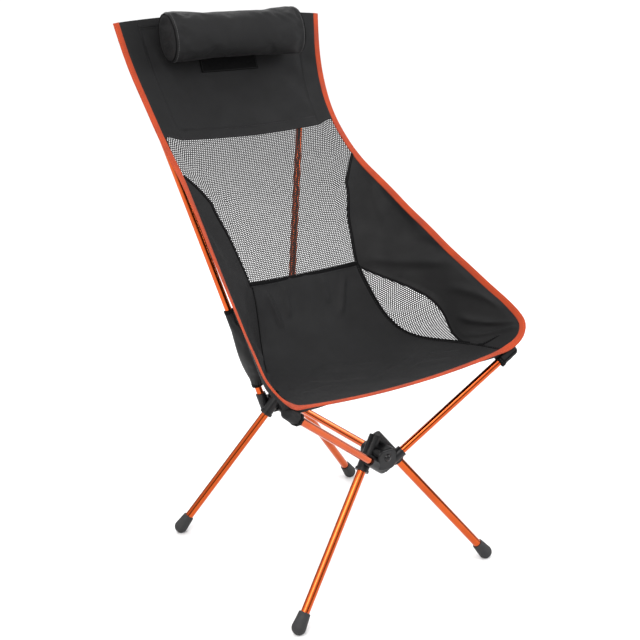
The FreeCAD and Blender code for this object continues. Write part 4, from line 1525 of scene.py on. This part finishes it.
def makeCornerPocket(place, side, capNode, towards):
    # towards: the way to the sling, where the pocket is sewn flat to it
    sideName = sideNames[side]
    capLow, capHigh = tubeLine(capNode + sideName)
    direction = (capHigh - capLow).normalized()
    end = capHigh + direction * cornerPocket["endGap"]
    sling = towards - end
    sling = (sling - direction * sling.dot(direction)).normalized()
    sideways = direction.cross(sling).normalized()
    setup = cornerPocket
    rings, count = setup["rings"], setup["around"]
    points = []
    places = []
    for share in spread(0.0, 1.0, rings):
        back = setup["length"] * (1 - share)
        # a rounded toe, then a tube that flares a little towards its mouth
        toe = math.sqrt(max(0.0, 1 - (1 - min(1.0, back / setup["toe"])) ** 2))
        radius = setup["radius"] + setup["mouth"] * smoothStep(back / 0.045)
        radius *= setup["toeWidth"] + (1 - setup["toeWidth"]) * toe
        for i in range(count):
            angle = math.tau * i / count
            pucker = setup["pucker"] * math.cos(angle * setup["puckers"] + share * 3)
            pucker *= smoothStep((0.4 - share) / 0.3)
            spot = Vector((math.cos(angle) * 2, math.sin(angle) * 2, back * 90 + side))
            pucker += setup["lump"] * noise.noise(spot)
            flat = min(1.0, 0.85 / max(0.6, math.cos(angle))) if math.cos(angle) > 0 else 1.0
            reach = radius * flat + pucker * toe
            points.append(end - direction * back + sling * (reach * math.cos(angle))
                          + sideways * (reach * math.sin(angle)))
            places.append((angle * radius, back))
    faces = tubeFaces(rings, count) + [tuple((rings - 1) * count + i for i in range(count))]
    name = place + "Pocket" + sideName.title()
    body = makePiece(name, points, faces, pocketCloth, places)
    addModifier(body, "SOLIDIFY", thickness=setup["thickness"], offset=-1.0)
    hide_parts("%s_pocket_%s" % (place, sideName))
    attach(body)
    path = points[count:2 * count]
    normals = hemNormals(path)
    hem = sweep(name + "Hem", path, normals, roundedBand(*setup["hem"]), seamCloth, closed=True)
    attach(hem)
    stitchPath = [point + normal * 0.0008 for point, normal in zip(path, normals)]
    attach(stitchRow(name + "Stitches", stitchPath, normals, sewingThread))
    seam = [points[r * count + count // 4] for r in range(1, rings - 3)]
    tape = sweep(name + "Seam", seam, [sling] * len(seam), roundedBand(*setup["seam"]), seamCloth)
    attach(tape)


edgeFlap = {
    "front": {"places": (0.775, 0.868), "drop": 0.016, "way": (0, 0.40, -0.92)},
    "side": {"places": (0.800, 0.600), "drop": 0.013, "way": (0, 0.20, -0.98)},
    "thickness": 0.0014,
    "rows": 40, "columns": 9,
}


def makeEdgeFlap(part, side):
    # from the pocket its cloth runs on under the tape as a narrow triangle
    setup = edgeFlap[part]
    down = Vector(setup["way"])
    points = []
    places = []
    for r, place in enumerate(spread(*setup["places"], edgeFlap["rows"])):
        share = r / (edgeFlap["rows"] - 1)
        edge = mirrored(edgePoint(place), side)
        drop = setup["drop"] * min(1.0, 4 * share) * (1 - share) ** 0.8 + 0.001
        for c in range(edgeFlap["columns"]):
            across = c / (edgeFlap["columns"] - 1)
            sway = 0.0012 * across * noise.noise(Vector((share * 5, across, side)))
            points.append(edge + down * (0.0022 + drop * across) + Vector((0, sway, 0)))
            places.append((share * 0.09, drop * across))
    columns = edgeFlap["columns"]
    faces = []
    for r in range(edgeFlap["rows"] - 1):
        for c in range(columns - 1):
            first = r * columns + c
            faces.append((first, first + 1, first + columns + 1, first + columns))
    piece = makePiece(part + "Flap" + sideNames[side].title(), points, faces, pocketCloth, places)
    addModifier(piece, "SOLIDIFY", thickness=edgeFlap["thickness"], offset=0.0)
    attach(piece)


for side in sideNames:
    for part in ("front", "side"):
        makeEdgeFlap(part, side)
    makeCornerPocket("front", side, "seat_pole_cap_", mirrored(frontCorner, side) + Vector((0, 0, 0.04)))
    makeCornerPocket("top", side, "back_pole_cap_", mirrored(topCorner, side) + Vector((0, -0.06, 0)))
print("corner pockets sewn")


# floor, sky and lamps
stageSetup = {
    "floorShade": (0.82, 0.82, 0.82),
    "ceiling": (1.45, 1.45, 1.46), "wall": (0.20, 0.20, 0.20),
    "wallTop": (0.22, 0.50),  # the walls fade into the ceiling between these heights
    # each lamp: place from the middle of the feet, size, power, shade
    "lamps": (
        ((-2.2, -1.2, 2.6), 2.0, 70, (1.0, 0.98, 0.96)),
        ((2.2, -1.8, 1.8), 1.6, 36, (0.97, 0.98, 1.0)),
        ((0.3, 2.2, 2.4), 1.6, 30, (1.0, 1.0, 1.0)),
    ),
}


def makeStage(setup):
    size = 30.0
    corners = [(-size, -size, 0), (size, -size, 0), (size, size, 0), (-size, size, 0)]
    material, tree, shader = newMaterial("pale floor")
    grain = noiseAt(tree, 5, 3)
    shade = setup["floorShade"]
    dim = tuple(value * 0.985 for value in shade)
    setInputs(tree, shader, {"Base Color": ramp(tree, grain, dim, shade), "Roughness": 0.9,
                             "Specular IOR Level": 0.0})
    makePiece("Floor", corners, [(0, 1, 2, 3)], material)
    world = bpy.data.worlds.new("World")
    world.use_nodes = True
    tree = world.node_tree
    height = node(tree, "ShaderNodeSeparateXYZ", {"Vector": coordinates(tree, "Generated")}).outputs[2]
    shade = ramp(tree, height, setup["wall"], setup["ceiling"], *setup["wallTop"])
    tree.links.new(shade, tree.nodes["Background"].inputs[0])
    bpy.context.scene.world = world
    target = feetMiddle + Vector((0, 0, 0.45))
    for place, width, power, shade in setup["lamps"]:
        data = bpy.data.lights.new("Softbox", "AREA")
        data.shape = "DISK"
        data.size = width
        data.energy = power
        data.color = shade
        lamp = bpy.data.objects.new("Softbox", data)
        lamp.location = feetMiddle + Vector(place)
        lamp.rotation_euler = (target - lamp.location).to_track_quat("-Z", "Y").to_euler()
        bpy.context.scene.collection.objects.link(lamp)
    bpy.context.scene.view_settings.view_transform = "Standard"


makeStage(stageSetup)
